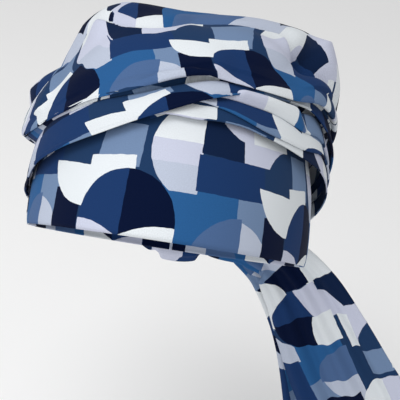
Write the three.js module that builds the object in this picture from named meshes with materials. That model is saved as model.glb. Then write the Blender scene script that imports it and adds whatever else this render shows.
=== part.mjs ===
// A tie-on turban, as worn: a smooth brow band, a full crown bag, two wraps that cross at the front,
// the knot at the nape and its two free ends. All of it is one printed cotton.
// Millimetres, +Z up, the wearer faces -Y. The origin is the centre of the head opening.
import * as THREE from 'three';
import { mergeVertices } from 'three/addons/utils/BufferGeometryUtils.js';

// The head opening: an ellipse in a plane that is tilted so that the brow is high and the nape low
const rimHalfBreadth = 71.5;
const rimHalfLength = 101;
const formHeight = 112;
const rimTilt = 34;
const leftFullDepth = 4;
const rightFullDepth = 7;

// Cloth and the layers, from the head outwards
const bandWall = 1.2;
const crownWall = 1.1;
const wrapWall = 1.1;
const tieWall = 1.6;
const layerGap = 0.5;
const pleatFoldHeight = 1.5;
const hemHeight = 0.5;

// The crown bag. Lengths up the head are angles, in degrees.
const drapeDepth = 9.5;
const drapeCornerDepth = 9;
const bagDepth = 37;
const rollSwellDepth = 3.6;
const wrapLooseDepth = 9;
const creaseBackLength = 14;
const creaseBowDepth = 16;
const creaseWidth = 9;
const creaseDepth = 4;
const gatherDepth = 2;
const gatherCount = 16;
const skirtDepth = 8;
const skirtOverBand = 5;
const seatTuck = 0.25;
const rollLip = 3;
const rollSpread = 15;
const wrapEnd = 2;
const looseAtOpening = 0.1;
const cornerStart = [36, 54];
const cornerEnd = [62, 84];
const gatherTurns = [95, 140];
const gatherRises = [35, 70];
const swellHold = 4;
const hemShares = [0, 0.05, 0.1];
const wrapShares = [0.35, 0.65, 1];
const hemEnd = 0.08;
const pleatEdge = 0.03;
const pleatFade = 0.8;

// The knot at the nape and the two free ends
const knotWidth = 46;
const knotHeight = 34;
const knotDepth = 28;
const knotRise = 5;
const knotFolds = 3;
const knotFlatness = 0.5;
const knotFoldDepth = 1.6;
const seatGap = 0.4;
const tieReach = 130;
const tieDrop = 135;
const tieBack = 36;
const tieWidth = 72;
const tieSpacing = 8;
const tieRipple = 3;
const tieSeatGap = 0.4;
const tieRippleAtKnot = 0.35;
const tieWaves = 2.5;
const tieLookAhead = 0.01;

// How finely the cloth is faceted
const turnSteps = 64;
const crownRows = 18;
const bandRows = 2;
const knotSides = 24;
const knotRows = 10;
const tieSteps = 20;
const tieRows = 8;

const degree = Math.PI / 180;

// The tables. Turn is the angle round the head from the front, positive to the wearer's left; heights up
// the head are angles from the head opening (0) to the crown's middle (90).

// Where the crown's roll sits down on the head, how far its lip droops below that, how much it swells as
// a share of rollSwellDepth, and how loosely the wraps below it lie as a share of wrapLooseDepth
const rollSeat = {
  columns: ['turn', 'seat', 'droop', 'size', 'loose'],
  rows: [
    [-180, 16, 0, 0.6, 0.15],
    [-150, 17, 0, 0.8, 0.25],
    [-120, 19, 0, 1.4, 0.2],
    [-87, 21, 0.3, 1.5, 0.12],
    [-58, 26.5, 0.2, 0.85, 0],
    [-34, 31.2, 0.2, 0.55, 0],
    [-13, 35.2, 0.9, 0.6, 0],
    [0, 39.2, 2, 0.7, 0],
    [12, 42, 2.9, 0.8, 0],
    [22, 41.2, 2, 0.8, 0],
    [32, 40, 2.4, 0.9, 0.05],
    [50, 40, 2.6, 1, 0.25],
    [68, 39.5, 2, 1.1, 0.7],
    [90, 34.5, 0.8, 1, 1],
    [120, 26, 0.2, 1, 0.9],
    [150, 19, 0, 0.9, 0.5],
    [180, 16, 0, 0.6, 0.15],
  ],
};

// How full the bag behind the crease is, as shares of bagDepth, at seven heights up the head
const bagShape = {
  columns: ['turn', 'at20', 'at32', 'at42', 'at52', 'at62', 'at75', 'at90'],
  rows: [
    [-180, 0.2, 0.38, 0.54, 0.6, 0.52, 0.37, 0.28],
    [-150, 0.22, 0.46, 0.56, 0.57, 0.48, 0.37, 0.28],
    [-120, 0.3, 0.52, 0.56, 0.54, 0.46, 0.36, 0.28],
    [-90, 0.34, 0.54, 0.4, 0.38, 0.43, 0.35, 0.28],
    [-60, 0.25, 0.3, 0.28, 0.4, 0.5, 0.33, 0.28],
    [-30, 0.25, 0.25, 0.26, 0.36, 0.44, 0.29, 0.28],
    [0, 0.22, 0.22, 0.22, 0.24, 0.3, 0.28, 0.28],
    [30, 0.25, 0.25, 0.27, 0.36, 0.42, 0.32, 0.28],
    [60, 0.35, 0.42, 0.5, 0.66, 0.62, 0.4, 0.28],
    [90, 0.36, 0.46, 0.76, 0.94, 0.78, 0.42, 0.28],
    [120, 0.34, 0.48, 0.76, 0.88, 0.74, 0.42, 0.28],
    [150, 0.25, 0.42, 0.64, 0.72, 0.62, 0.4, 0.28],
    [180, 0.2, 0.38, 0.54, 0.6, 0.52, 0.37, 0.28],
  ],
};
const bagHeights = [20, 32, 42, 52, 62, 75, 90];

// The upper wrap: its lower and upper edge, where the upper edge is that far below the roll's seat
const leftWrapCourse = {
  columns: ['turn', 'low', 'below'],
  rows: [
    [-180, 3.2, 4.5],
    [-150, 3.6, 2.2],
    [-120, 4.6, 1.2],
    [-90, 6.8, 1],
    [-65, 10.6, 1],
    [-40, 17.2, 1],
    [-26, 20.8, 1.1],
    [-14, 24.5, 1.4],
    [0, 28.7, 2.6],
    [10, 31.8, 3.2],
    [20, 34.6, 2],
    [28, 36.4, 1.2],
    [36, 37.2, 1],
    [60, 36.8, 1],
    [74, 32.5, 1],
    [90, 26.5, 1],
    [120, 15.5, 1],
    [150, 7.5, 1.6],
    [180, 4, 4.5],
  ],
};

// The under wrap: its lower edge, its upper edge, where the lower edges of its two pleats run as shares of
// its width, and how far the pleats stand up
const rightWrapCourse = {
  columns: ['turn', 'low', 'high', 'firstPleat', 'secondPleat', 'stand'],
  rows: [
    [-180, 4.2, 10.5, 0.4, 0.7, 0.1],
    [-150, 5, 13, 0.4, 0.7, 0],
    [-120, 6.4, 15.8, 0.4, 0.7, 0],
    [-90, 9, 18, 0.4, 0.7, 0],
    [-65, 13, 22.5, 0.4, 0.7, 0],
    [-40, 19.5, 27, 0.4, 0.7, 0],
    [-20, 24.2, 31.5, 0.45, 0.75, 0],
    [-6, 27.6, 34, 0.55, 0.8, 0.3],
    [8, 27.8, 36, 0.58, 0.82, 1],
    [16, 28.3, 37, 0.42, 0.78, 1],
    [27, 28.2, 37.4, 0.22, 0.66, 1],
    [43, 26.3, 37.2, 0.16, 0.52, 1],
    [56, 24.4, 36.4, 0.2, 0.5, 1],
    [71, 22.2, 34.5, 0.3, 0.6, 1],
    [90, 17.5, 29, 0.35, 0.65, 0.9],
    [120, 9.5, 18.5, 0.4, 0.7, 0.8],
    [150, 3.6, 11.5, 0.4, 0.7, 0.7],
    [180, 2.4, 9, 0.4, 0.7, 0.7],
  ],
};

// The course of a free end from the knot: how far it has gone to the side, forward again and down, and how
// wide it has opened, as shares of tieReach, tieBack, tieDrop and tieWidth
const upperTieCourse = {
  columns: ['along', 'side', 'forward', 'down', 'width'],
  rows: [
    [0, 0, 0, 0, 0.3],
    [0.06, 0.07, 0.03, 0, 0.34],
    [0.14, 0.17, 0.22, -0.03, 0.42],
    [0.26, 0.31, 0.5, -0.04, 0.54],
    [0.42, 0.46, 0.68, 0.08, 0.68],
    [0.58, 0.6, 0.72, 0.29, 0.82],
    [0.74, 0.73, 0.74, 0.5, 0.93],
    [0.87, 0.86, 0.75, 0.7, 1],
    [1, 1, 0.76, 0.96, 1],
  ],
};
const underTieCourse = {
  columns: ['along', 'side', 'forward', 'down', 'width'],
  rows: [
    [0, 0, 0, 0, 0.26],
    [0.06, 0.07, 0.02, 0, 0.3],
    [0.14, 0.17, 0.14, 0.02, 0.38],
    [0.28, 0.33, 0.38, 0.1, 0.46],
    [0.44, 0.47, 0.5, 0.27, 0.54],
    [0.6, 0.58, 0.55, 0.47, 0.62],
    [0.8, 0.68, 0.57, 0.75, 0.68],
    [1, 0.77, 0.58, 1.06, 0.72],
  ],
};

// Reads one named column of a table at a place along its first column, on a smooth curve through the rows
function read(table, column, place) {
  const { rows } = table;
  const at = table.columns.indexOf(column);
  let next = rows.findIndex((row) => row[0] > place);
  next = next < 0 ? rows.length - 1 : Math.max(next, 1);
  const before = rows[next - 1];
  const after = rows[next];
  const slope = (index) => {
    const low = rows[Math.max(index - 1, 0)];
    const high = rows[Math.min(index + 1, rows.length - 1)];
    return (high[at] - low[at]) / (high[0] - low[0]);
  };
  const span = after[0] - before[0];
  const t = (place - before[0]) / span;
  const bend = t * t * (3 - 2 * t);
  const leave = slope(next - 1) * span * t * (1 - t) * (1 - t);
  const arrive = slope(next) * span * t * t * (1 - t);
  return before[at] * (1 - bend) + after[at] * bend + leave - arrive;
}

// Eases from 0 to 1 as a value passes from one bound to the other
function ease(from, to, value) {
  const t = Math.min(Math.max((value - from) / (to - from), 0), 1);
  return t * t * (3 - 2 * t);
}

// The frame of the tilted head opening: across, back towards the nape, and up through the crown
const across = new THREE.Vector3(1, 0, 0);
const backward = new THREE.Vector3(0, Math.cos(rimTilt * degree), -Math.sin(rimTilt * degree));
const upward = new THREE.Vector3(0, Math.sin(rimTilt * degree), Math.cos(rimTilt * degree));

function fromHeadFrame(side, back, up) {
  return new THREE.Vector3()
    .addScaledVector(across, side)
    .addScaledVector(backward, back)
    .addScaledVector(upward, up);
}

// The point at an angle round the head and an angle up it, so far out from the head's own surface, which is
// an ellipsoid that is fuller over the ears
function onHead(turn, rise, out) {
  const level = Math.cos(rise * degree);
  const fullness = turn < 0 ? rightFullDepth : leftFullDepth;
  const fuller = fullness * Math.sin(turn * degree) ** 2 * Math.sin(2 * rise * degree);
  return fromHeadFrame(
    (rimHalfBreadth + out + fuller) * level * Math.sin(turn * degree),
    -(rimHalfLength + out) * level * Math.cos(turn * degree),
    (formHeight + out) * Math.sin(rise * degree),
  );
}

// A closed body between an outer and an inner grid of points. Each grid is a list of lines, and with ring
// set the last line joins the first; otherwise both ends are closed by an edge face.
function clothBody(name, outer, inner, ring) {
  const lines = outer.length;
  const points = outer[0].length;
  const corners = [];
  const quad = (a, b, c, d) => corners.push(a, b, c, a, c, d);
  for (let i = 0; i < (ring ? lines : lines - 1); i += 1) {
    const k = (i + 1) % lines;
    for (let j = 0; j < points - 1; j += 1) {
      quad(outer[i][j], outer[k][j], outer[k][j + 1], outer[i][j + 1]);
      quad(inner[i][j + 1], inner[k][j + 1], inner[k][j], inner[i][j]);
    }
    quad(inner[i][0], inner[k][0], outer[k][0], outer[i][0]);
    quad(outer[i][points - 1], outer[k][points - 1], inner[k][points - 1], inner[i][points - 1]);
  }
  if (!ring) {
    const last = lines - 1;
    for (let j = 0; j < points - 1; j += 1) {
      quad(inner[0][j], outer[0][j], outer[0][j + 1], inner[0][j + 1]);
      quad(outer[last][j], inner[last][j], inner[last][j + 1], outer[last][j + 1]);
    }
  }
  return clothMesh(name, corners);
}

// A named mesh from a list of triangle corners: corners that meet are merged, triangles without area are
// left out, and all faces are turned out if the body came inside out
function clothMesh(name, corners) {
  const places = new Float32Array(corners.flatMap((corner) => corner.toArray()));
  const loose = new THREE.BufferGeometry();
  loose.setAttribute('position', new THREE.BufferAttribute(places, 3));
  const geometry = mergeVertices(loose, 0.001);
  const index = Array.from(geometry.index.array);
  const point = (k) => new THREE.Vector3().fromBufferAttribute(geometry.attributes.position, k);
  let kept = [];
  let volume = 0;
  for (let k = 0; k < index.length; k += 3) {
    const [a, b, c] = index.slice(k, k + 3);
    if (a !== b && b !== c && c !== a) {
      kept.push([a, b, c]);
      volume += point(a).dot(point(b).cross(point(c))) / 6;
    }
  }
  if (volume < 0) {
    kept = kept.map(([a, b, c]) => [a, c, b]);
  }
  geometry.setIndex(kept.flat());
  geometry.computeVertexNormals();
  const mesh = new THREE.Mesh(geometry, cotton.clone());
  mesh.name = name;
  return mesh;
}

const cotton = new THREE.MeshStandardMaterial({ color: 0x5f78ad, roughness: 0.85, metalness: 0 });

// The angles round the head at which every layer has a line of points, so that the layers stay parallel
const turns = Array.from({ length: turnSteps }, (_, k) => -180 + (360 / turnSteps) * k);
const wrapTurns = [-180 + wrapEnd, ...turns.slice(1), 180 - wrapEnd];

// How far out from the head's surface each layer starts
const crownSeatOut = layerGap;
const underWrapOut = crownSeatOut + crownWall + layerGap;

function overWrapOut(turn) {
  return underWrapOut + wrapWall + pleatHeight(turn) + layerGap;
}

function lipOut(turn) {
  return overWrapOut(turn) + wrapWall + hemHeight + layerGap;
}

// How far the under wrap's pleats stand up from its plain face
function pleatHeight(turn) {
  return pleatFoldHeight * Math.max(read(rightWrapCourse, 'stand', turn), 0);
}

// How far the wraps stand off the head at a place, because they go straight over its hollows: least at the
// head opening and most under the roll
function looseAt(turn, rise) {
  const share = Math.min(Math.max(rise / read(rollSeat, 'seat', turn), 0), 1);
  return wrapLooseDepth * read(rollSeat, 'loose', turn) * (looseAtOpening + (1 - looseAtOpening) * share);
}

// The brow band: from the head opening up under the crown's skirt
function browBand() {
  const lines = (out) =>
    turns.map((turn) => {
      const top = read(rollSeat, 'seat', turn) - skirtDepth + skirtOverBand;
      return Array.from({ length: bandRows + 1 }, (_, j) => onHead(turn, (top * j) / bandRows, out));
    });
  return clothBody('brow_band', lines(0), lines(-bandWall), true);
}

// How full the bag is behind the crease at one place
function bagAt(turn, rise) {
  let k = bagHeights.findIndex((height) => height > rise);
  k = k < 0 ? bagHeights.length - 1 : Math.max(k, 1);
  const low = read(bagShape, `at${bagHeights[k - 1]}`, turn);
  const high = read(bagShape, `at${bagHeights[k]}`, turn);
  const t = Math.min(Math.max((rise - bagHeights[k - 1]) / (bagHeights[k] - bagHeights[k - 1]), 0), 1);
  return bagDepth * (low + (high - low) * t);
}

// How far the crown stands out from the head above its roll: the smooth drape in front of the crease, the
// full bag behind it, the crease itself, and the gathers that run to the nape
function crownOut(turn, rise) {
  const lip = read(rollSeat, 'seat', turn) - read(rollSeat, 'droop', turn);
  const place = onHead(turn, rise, drapeDepth);
  const fromCrease = place.y - creaseBackLength - creaseBowDepth * (place.x / rimHalfBreadth) ** 2;
  const behind = ease(-creaseWidth / 2, creaseWidth * 2, fromCrease);
  const crease = creaseDepth * Math.exp(-((fromCrease / creaseWidth) ** 2));
  const gathered = ease(...gatherTurns, Math.abs(turn)) * (1 - ease(...gatherRises, rise));
  const gathers = gatherDepth * gathered * Math.cos(gatherCount * turn * degree);
  const high = ease(...cornerStart, rise) * (1 - ease(...cornerEnd, rise));
  const corner = drapeCornerDepth * Math.sin(2 * turn * degree) ** 2 * high;
  const front = drapeDepth + corner;
  const drape = front + behind * (bagAt(turn, rise) - front) - crease + gathers;
  const swell = Math.max(rollOut(turn) - drape, 0);
  return drape + swell * (1 - ease(lip + swellHold, lip + rollSpread, rise));
}

// How far the roll stands out: over the wraps, however loosely these lie, by its own swelling
function rollOut(turn) {
  const seat = read(rollSeat, 'seat', turn);
  return lipOut(turn) + crownWall + looseAt(turn, seat) + rollSwellDepth * read(rollSeat, 'size', turn);
}

// The crown: a skirt under the wraps, the roll that sits over them, and the bag up to its middle
function crown() {
  const outer = turns.map((turn) => {
    const seat = read(rollSeat, 'seat', turn);
    const lip = seat - read(rollSeat, 'droop', turn);
    const first = lip + rollLip;
    const foot = lipOut(turn) + looseAt(turn, seat);
    const line = [
      onHead(turn, seat - skirtDepth, crownSeatOut + crownWall),
      onHead(turn, seat - seatTuck, crownSeatOut + crownWall),
      onHead(turn, seat - seatTuck, foot),
      onHead(turn, lip - 2 * seatTuck, foot + crownWall / 8),
      onHead(turn, lip - seatTuck, foot + 2 * crownWall),
    ];
    for (let j = 0; j <= crownRows; j += 1) {
      const share = j / crownRows;
      const rise = first + (90 - first) * share;
      line.push(onHead(turn, rise, crownOut(turn, rise)));
    }
    return line;
  });
  const inner = turns.map((turn, i) => {
    const seat = read(rollSeat, 'seat', turn);
    const foot = lipOut(turn) + looseAt(turn, seat);
    const line = [
      onHead(turn, seat - skirtDepth, crownSeatOut),
      onHead(turn, seat + 2 * seatTuck, crownSeatOut),
      onHead(turn, seat + 2 * seatTuck, foot - crownWall),
      onHead(turn, seat + 3 * seatTuck, foot),
      onHead(turn, seat + 4 * seatTuck, foot + crownWall / 4),
    ];
    for (let j = line.length; j < outer[i].length; j += 1) {
      line.push(insetPoint(outer, i, j, crownWall));
    }
    return line;
  });
  return clothBody('crown', outer, inner, true);
}

// A grid point moved in from the outer face along the face's own normal
function insetPoint(grid, i, j, depth) {
  const lines = grid.length;
  const top = grid[i].length - 1;
  const here = grid[i][j];
  if (j === top) {
    return here.clone().addScaledVector(upward, -depth);
  }
  const alongTurn = grid[(i + 1) % lines][j].clone().sub(grid[(i + lines - 1) % lines][j]);
  const alongRise = grid[i][Math.min(j + 1, top)].clone().sub(grid[i][j - 1]);
  const normal = alongTurn.cross(alongRise).normalize();
  return here.clone().addScaledVector(normal, -depth);
}

// A strip that goes round the head: low and high give its edges at an angle round the head, and thick how
// far its outer face stands out of its inner one at a share of its width
function wrapStrip(name, out, low, high, shares, thick) {
  const lines = (outside) =>
    wrapTurns.map((turn) => {
      const from = low(turn);
      const to = high(turn);
      return shares(turn).map((share) => {
        const rise = from + (to - from) * share;
        const face = out(turn) + looseAt(turn, rise);
        return onHead(turn, rise, face + (outside ? thick(turn, share) : 0));
      });
    });
  return clothBody(name, lines(true), lines(false), false);
}

// The upper wrap: smooth, with a fine rolled hem along its lower edge
function leftWrap() {
  const shares = () => [...hemShares, ...wrapShares];
  const thick = (turn, share) => wrapWall + (share < hemEnd ? hemHeight : 0);
  const low = (turn) => read(leftWrapCourse, 'low', turn);
  const high = (turn) => read(rollSeat, 'seat', turn) - read(leftWrapCourse, 'below', turn);
  return wrapStrip('left_wrap', overWrapOut, low, high, shares, thick);
}

// The under wrap: each pleat lies over the one below it, so the face steps out at a pleat's lower edge and
// runs back in towards the next one
function rightWrap() {
  const edge = pleatEdge;
  const pleats = (turn) => [read(rightWrapCourse, 'firstPleat', turn), read(rightWrapCourse, 'secondPleat', turn)];
  const shares = (turn) => {
    const [first, second] = pleats(turn);
    return [0, first - edge, first, (first + second) / 2, second - edge, second, 1];
  };
  const thick = (turn, share) => {
    const [first, second] = pleats(turn);
    const stand = pleatHeight(turn);
    const fade = (from, to) => 1 - pleatFade * ((share - from) / (to - from));
    if (share >= second) {
      return wrapWall + stand * fade(second, 1);
    }
    if (share >= first && share < second - edge / 2) {
      return wrapWall + stand * fade(first, second);
    }
    return wrapWall;
  };
  const low = (turn) => read(rightWrapCourse, 'low', turn);
  const high = (turn) => read(rightWrapCourse, 'high', turn);
  return wrapStrip('right_wrap', () => underWrapOut, low, high, shares, thick);
}

// The knot at the nape: a rounded lump with the folds of the cloth running across it
const knotOut = lipOut(180 - wrapEnd) - layerGap + looseAt(180, knotRise) + seatGap + knotDepth / 2;
const knotCentre = onHead(180, knotRise, knotOut);

function knotPoint(turn, rise) {
  const level = Math.cos(rise * degree) ** knotFlatness;
  const fold = 1 - (knotFoldDepth / knotHeight) * (1 - Math.cos(knotFolds * 2 * turn * degree)) * level;
  return knotCentre
    .clone()
    .addScaledVector(across, (knotWidth / 2) * Math.sin(rise * degree))
    .addScaledVector(backward, (knotDepth / 2) * level * Math.cos(turn * degree) * fold)
    .addScaledVector(upward, (knotHeight / 2) * level * Math.sin(turn * degree) * fold);
}

function knot() {
  const corners = [];
  const at = (i, j) => knotPoint((360 / knotSides) * i, -90 + (180 / knotRows) * j);
  for (let i = 0; i < knotSides; i += 1) {
    for (let j = 0; j < knotRows; j += 1) {
      corners.push(at(i, j), at(i + 1, j), at(i + 1, j + 1), at(i, j), at(i + 1, j + 1), at(i, j + 1));
    }
  }
  return clothMesh('knot', corners);
}

// A free end: its course from the knot's side, with the cloth opening out across it in soft ripples
function tieEnd(name, course, behind) {
  const start = knotCentre.clone().addScaledVector(across, knotWidth / 2 + tieSeatGap);
  const place = (along) =>
    new THREE.Vector3(
      start.x + tieReach * read(course, 'side', along),
      start.y - tieBack * read(course, 'forward', along) + behind,
      start.z - tieDrop * read(course, 'down', along),
    );
  const outer = [];
  const inner = [];
  for (let i = 0; i <= tieSteps; i += 1) {
    const along = i / tieSteps;
    const from = place(Math.max(along - tieLookAhead, 0));
    const ahead = place(Math.min(along + tieLookAhead, 1)).sub(from).normalize();
    const facing = new THREE.Vector3(0, -1, 0);
    facing.addScaledVector(ahead, -facing.dot(ahead)).normalize();
    const sideways = ahead.clone().cross(facing).normalize();
    const width = tieWidth * read(course, 'width', along);
    const front = [];
    const rear = [];
    for (let j = 0; j <= tieRows; j += 1) {
      const share = j / tieRows - 0.5;
      const depth = tieRipple * (tieRippleAtKnot + (1 - tieRippleAtKnot) * along);
      const ripple = depth * Math.cos(2 * Math.PI * tieWaves * share);
      const point = place(along).addScaledVector(sideways, width * share).addScaledVector(facing, ripple);
      front.push(point.clone().addScaledVector(facing, tieWall / 2));
      rear.push(point.clone().addScaledVector(facing, -tieWall / 2));
    }
    outer.push(front);
    inner.push(rear);
  }
  return clothBody(name, outer, inner, false);
}

const turban = new THREE.Group();
turban.name = 'turban';
turban.add(
  browBand(),
  crown(),
  rightWrap(),
  leftWrap(),
  knot(),
  tieEnd('tie_end_upper', upperTieCourse, -tieSpacing / 2),
  tieEnd('tie_end_under', underTieCourse, tieSpacing / 2),
);

export default turban;
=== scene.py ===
# %% [markdown]
# A tie-on turban of printed cotton, as worn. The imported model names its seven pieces: a brow band, a crown,
# two wraps that cross at the front, a knot at the nape and two free ends.
# The frame comes first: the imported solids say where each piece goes, and every sheet of cloth made here
# takes the place of one of them.

import bmesh
import bpy
import numpy as np
from mathutils import Matrix, Vector


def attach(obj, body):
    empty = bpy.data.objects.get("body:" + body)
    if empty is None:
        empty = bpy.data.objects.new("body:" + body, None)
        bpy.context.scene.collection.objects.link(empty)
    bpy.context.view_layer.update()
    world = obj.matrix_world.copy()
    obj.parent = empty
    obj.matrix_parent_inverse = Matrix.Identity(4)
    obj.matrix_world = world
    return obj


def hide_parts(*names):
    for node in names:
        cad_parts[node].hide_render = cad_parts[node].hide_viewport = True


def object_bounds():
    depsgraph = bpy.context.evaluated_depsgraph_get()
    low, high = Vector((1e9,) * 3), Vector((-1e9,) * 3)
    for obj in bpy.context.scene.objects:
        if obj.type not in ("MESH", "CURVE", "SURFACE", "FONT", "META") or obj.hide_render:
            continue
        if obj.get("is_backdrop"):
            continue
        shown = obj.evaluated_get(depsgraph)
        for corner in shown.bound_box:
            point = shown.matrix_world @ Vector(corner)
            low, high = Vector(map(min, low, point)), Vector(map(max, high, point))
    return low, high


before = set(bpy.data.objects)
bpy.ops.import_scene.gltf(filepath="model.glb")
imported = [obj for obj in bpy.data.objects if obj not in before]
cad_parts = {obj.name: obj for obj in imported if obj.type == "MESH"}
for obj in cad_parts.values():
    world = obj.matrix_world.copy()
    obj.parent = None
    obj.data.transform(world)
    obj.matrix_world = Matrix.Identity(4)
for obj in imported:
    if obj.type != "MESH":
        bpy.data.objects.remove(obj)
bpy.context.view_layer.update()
print("solids", sorted(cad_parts))

# %% [markdown]
# All of the cloth lies on one head form, so the form is worked out first. A place on it is an angle round
# the head, an angle up it and a distance out from it. Tables of such angles could be joined by straight
# lines, but cloth has no corners, so they are read on a smooth curve.

# %% Read a table on a smooth curve
def read(table, column, place):
    """A cubic from row to row, whose slope at each row is the one from the row before it to the row after:
    low * (1 - bend) + high * bend + slope * span * t * (1 - t)^2 - next slope * span * t^2 * (1 - t), where
    t is the share of the way between the rows and bend is 3 t^2 - 2 t^3."""
    rows = np.array(table["rows"], float)
    x = rows[:, 0]
    y = rows[:, table["columns"].index(column)]
    at = np.arange(len(x))
    before = np.maximum(at - 1, 0)
    after = np.minimum(at + 1, len(x) - 1)
    slope = (y[after] - y[before]) / (x[after] - x[before])
    place = np.asarray(place, float)
    k = np.clip(np.searchsorted(x, place, side="right") - 1, 0, len(x) - 2)
    span = x[k + 1] - x[k]
    t = (place - x[k]) / span
    bend = t * t * (3 - 2 * t)
    bow = slope[k] * span * t * (1 - t) ** 2 - slope[k + 1] * span * t * t * (1 - t)
    return y[k] * (1 - bend) + y[k + 1] * bend + bow


def ease(low, high, value):
    """0 below low, 1 above high, and 3 t^2 - 2 t^3 between them."""
    t = np.clip((value - low) / (high - low), 0, 1)
    return t * t * (3 - 2 * t)


def window(value, start, full, still, end):
    """0 outside start to end and 1 from full to still: one ease up * one ease down."""
    return ease(start, full, value) * ease(end, still, value)


# %% The head form, in millimetres
RIM_HALF_BREADTH = 71.5
RIM_HALF_LENGTH = 101.0
FORM_HEIGHT = 112.0
RIM_TILT = np.radians(34)
FULLNESS_LEFT = 4.0
FULLNESS_RIGHT = 7.0
ACROSS = np.array([1.0, 0.0, 0.0])
BACKWARD = np.array([0.0, np.cos(RIM_TILT), -np.sin(RIM_TILT)])
UPWARD = np.array([0.0, np.sin(RIM_TILT), np.cos(RIM_TILT)])


def on_head(turn, rise, out):
    """An ellipsoid stood out by a distance: breadth * cos rise * sin turn across, -length * cos rise *
    cos turn back, height * sin rise up, with fullness * sin^2 turn * sin 2 rise added over the ears."""
    turn, rise, out = np.broadcast_arrays(turn, rise, out)
    t = np.radians(turn)
    r = np.radians(rise)
    fuller = np.where(turn < 0, FULLNESS_RIGHT, FULLNESS_LEFT) * np.sin(t) ** 2 * np.sin(2 * r)
    side = (RIM_HALF_BREADTH + out + fuller) * np.cos(r) * np.sin(t)
    back = -(RIM_HALF_LENGTH + out) * np.cos(r) * np.cos(t)
    up = (FORM_HEIGHT + out) * np.sin(r)
    return side[..., None] * ACROSS + back[..., None] * BACKWARD + up[..., None] * UPWARD


# %% [markdown]
# The tables are the tailoring: where the crown's roll sits, how full the bag is, and the courses of the two
# wraps. They began as the solids' own numbers, so that cloth and solid lie together. Some rows of the lip,
# the bag and the wraps' edges were then moved by a few millimetres, to meet the photograph's outline.

# %% Where each layer runs
ROLL_SEAT = {
    "columns": ["turn", "seat", "droop", "size", "loose"],
    "rows": [
        [-180, 16, 0, 0.6, 0.15],
        [-150, 17, 0, 0.8, 0.25],
        [-120, 20.3, 0, 1.1, 0.2],
        [-87, 22, 0.3, 1, 0.12],
        [-72, 21.3, 0.3, 1, 0.06],
        [-58, 22.9, 0.2, 0.85, 0],
        [-45, 25.9, 0.2, 0.7, 0],
        [-34, 29.1, 0.2, 0.55, 0],
        [-13, 33.6, 0.9, 0.6, 0],
        [0, 37.8, 2, 0.7, 0],
        [12, 40.4, 2.9, 0.8, 0],
        [22, 39.9, 2, 0.8, 0],
        [32, 40, 2.4, 0.9, 0.05],
        [50, 40, 2.6, 1, 0.25],
        [68, 39.5, 2, 1.1, 0.7],
        [90, 34.5, 0.8, 1, 1],
        [120, 26, 0.2, 1, 0.9],
        [150, 19, 0, 0.9, 0.5],
        [180, 16, 0, 0.6, 0.15],
    ],
}
BAG_SHAPE = {
    "columns": ["turn", "at20", "at32", "at42", "at52", "at62", "at75", "at90"],
    "rows": [
        [-180, 0.2, 0.38, 0.54, 0.6, 0.52, 0.37, 0.21],
        [-150, 0.22, 0.46, 0.56, 0.57, 0.48, 0.37, 0.21],
        [-120, 0.3, 0.57, 0.5, 0.5, 0.46, 0.36, 0.21],
        [-90, 0.34, 0.62, 0.34, 0.44, 0.5, 0.35, 0.21],
        [-60, 0.25, 0.3, 0.36, 0.55, 0.51, 0.29, 0.21],
        [-30, 0.25, 0.25, 0.26, 0.35, 0.33, 0.22, 0.21],
        [0, 0.22, 0.22, 0.22, 0.24, 0.22, 0.2, 0.21],
        [30, 0.25, 0.25, 0.27, 0.36, 0.35, 0.24, 0.21],
        [60, 0.35, 0.42, 0.5, 0.66, 0.54, 0.31, 0.21],
        [90, 0.36, 0.4, 0.77, 1.02, 0.7, 0.38, 0.21],
        [120, 0.34, 0.44, 0.7, 0.9, 0.7, 0.4, 0.21],
        [150, 0.25, 0.42, 0.64, 0.72, 0.62, 0.4, 0.21],
        [180, 0.2, 0.38, 0.54, 0.6, 0.52, 0.37, 0.21],
    ],
}
BAG_HEIGHTS = np.array([20.0, 32.0, 42.0, 52.0, 62.0, 75.0, 90.0])
LEFT_WRAP = {
    "columns": ["turn", "low", "below"],
    "rows": [
        [-180, 3.2, 4.5],
        [-150, 3.6, 2.2],
        [-120, 4.6, 0.4],
        [-90, 6.8, 0.3],
        [-65, 10.6, 0.3],
        [-40, 17.2, 0.3],
        [-26, 20.8, 0.4],
        [-14, 24.5, 1.2],
        [0, 28.7, 2.4],
        [10, 31.8, 3.1],
        [20, 34.6, 2],
        [28, 36.4, 1.2],
        [36, 37.2, 1],
        [60, 36.8, 1],
        [74, 32.5, 1],
        [90, 26.5, 1],
        [120, 15.5, 1],
        [150, 7.5, 1.6],
        [180, 4, 4.5],
    ],
}
RIGHT_WRAP = {
    "columns": ["turn", "low", "high", "first", "second", "stand"],
    "rows": [
        [-180, 4.2, 10.5, 0.4, 0.7, 0.1],
        [-150, 5, 13, 0.4, 0.7, 0],
        [-120, 6.4, 15.8, 0.4, 0.7, 0],
        [-90, 9, 18, 0.4, 0.7, 0],
        [-65, 13, 20.4, 0.4, 0.7, 0],
        [-40, 19.5, 25.2, 0.4, 0.7, 0],
        [-20, 24.2, 30.2, 0.45, 0.75, 0],
        [-6, 27.6, 32.8, 0.55, 0.8, 0.3],
        [8, 27.8, 35.6, 0.58, 0.82, 1],
        [16, 28.3, 36.6, 0.4, 0.78, 1],
        [27, 28.2, 37.2, 0.16, 0.71, 1],
        [36, 27.1, 37, 0.1, 0.7, 1],
        [43, 26.3, 36.7, 0.1, 0.67, 1],
        [50, 25.3, 36.6, 0.12, 0.6, 1],
        [56, 24.4, 36.2, 0.16, 0.55, 1],
        [71, 22.2, 36, 0.3, 0.6, 1],
        [90, 17.5, 29, 0.35, 0.65, 0.9],
        [120, 9.5, 18.5, 0.4, 0.7, 0.8],
        [150, 3.6, 11.5, 0.4, 0.7, 0.7],
        [180, 2.4, 9, 0.4, 0.7, 0.7],
    ],
}

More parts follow.
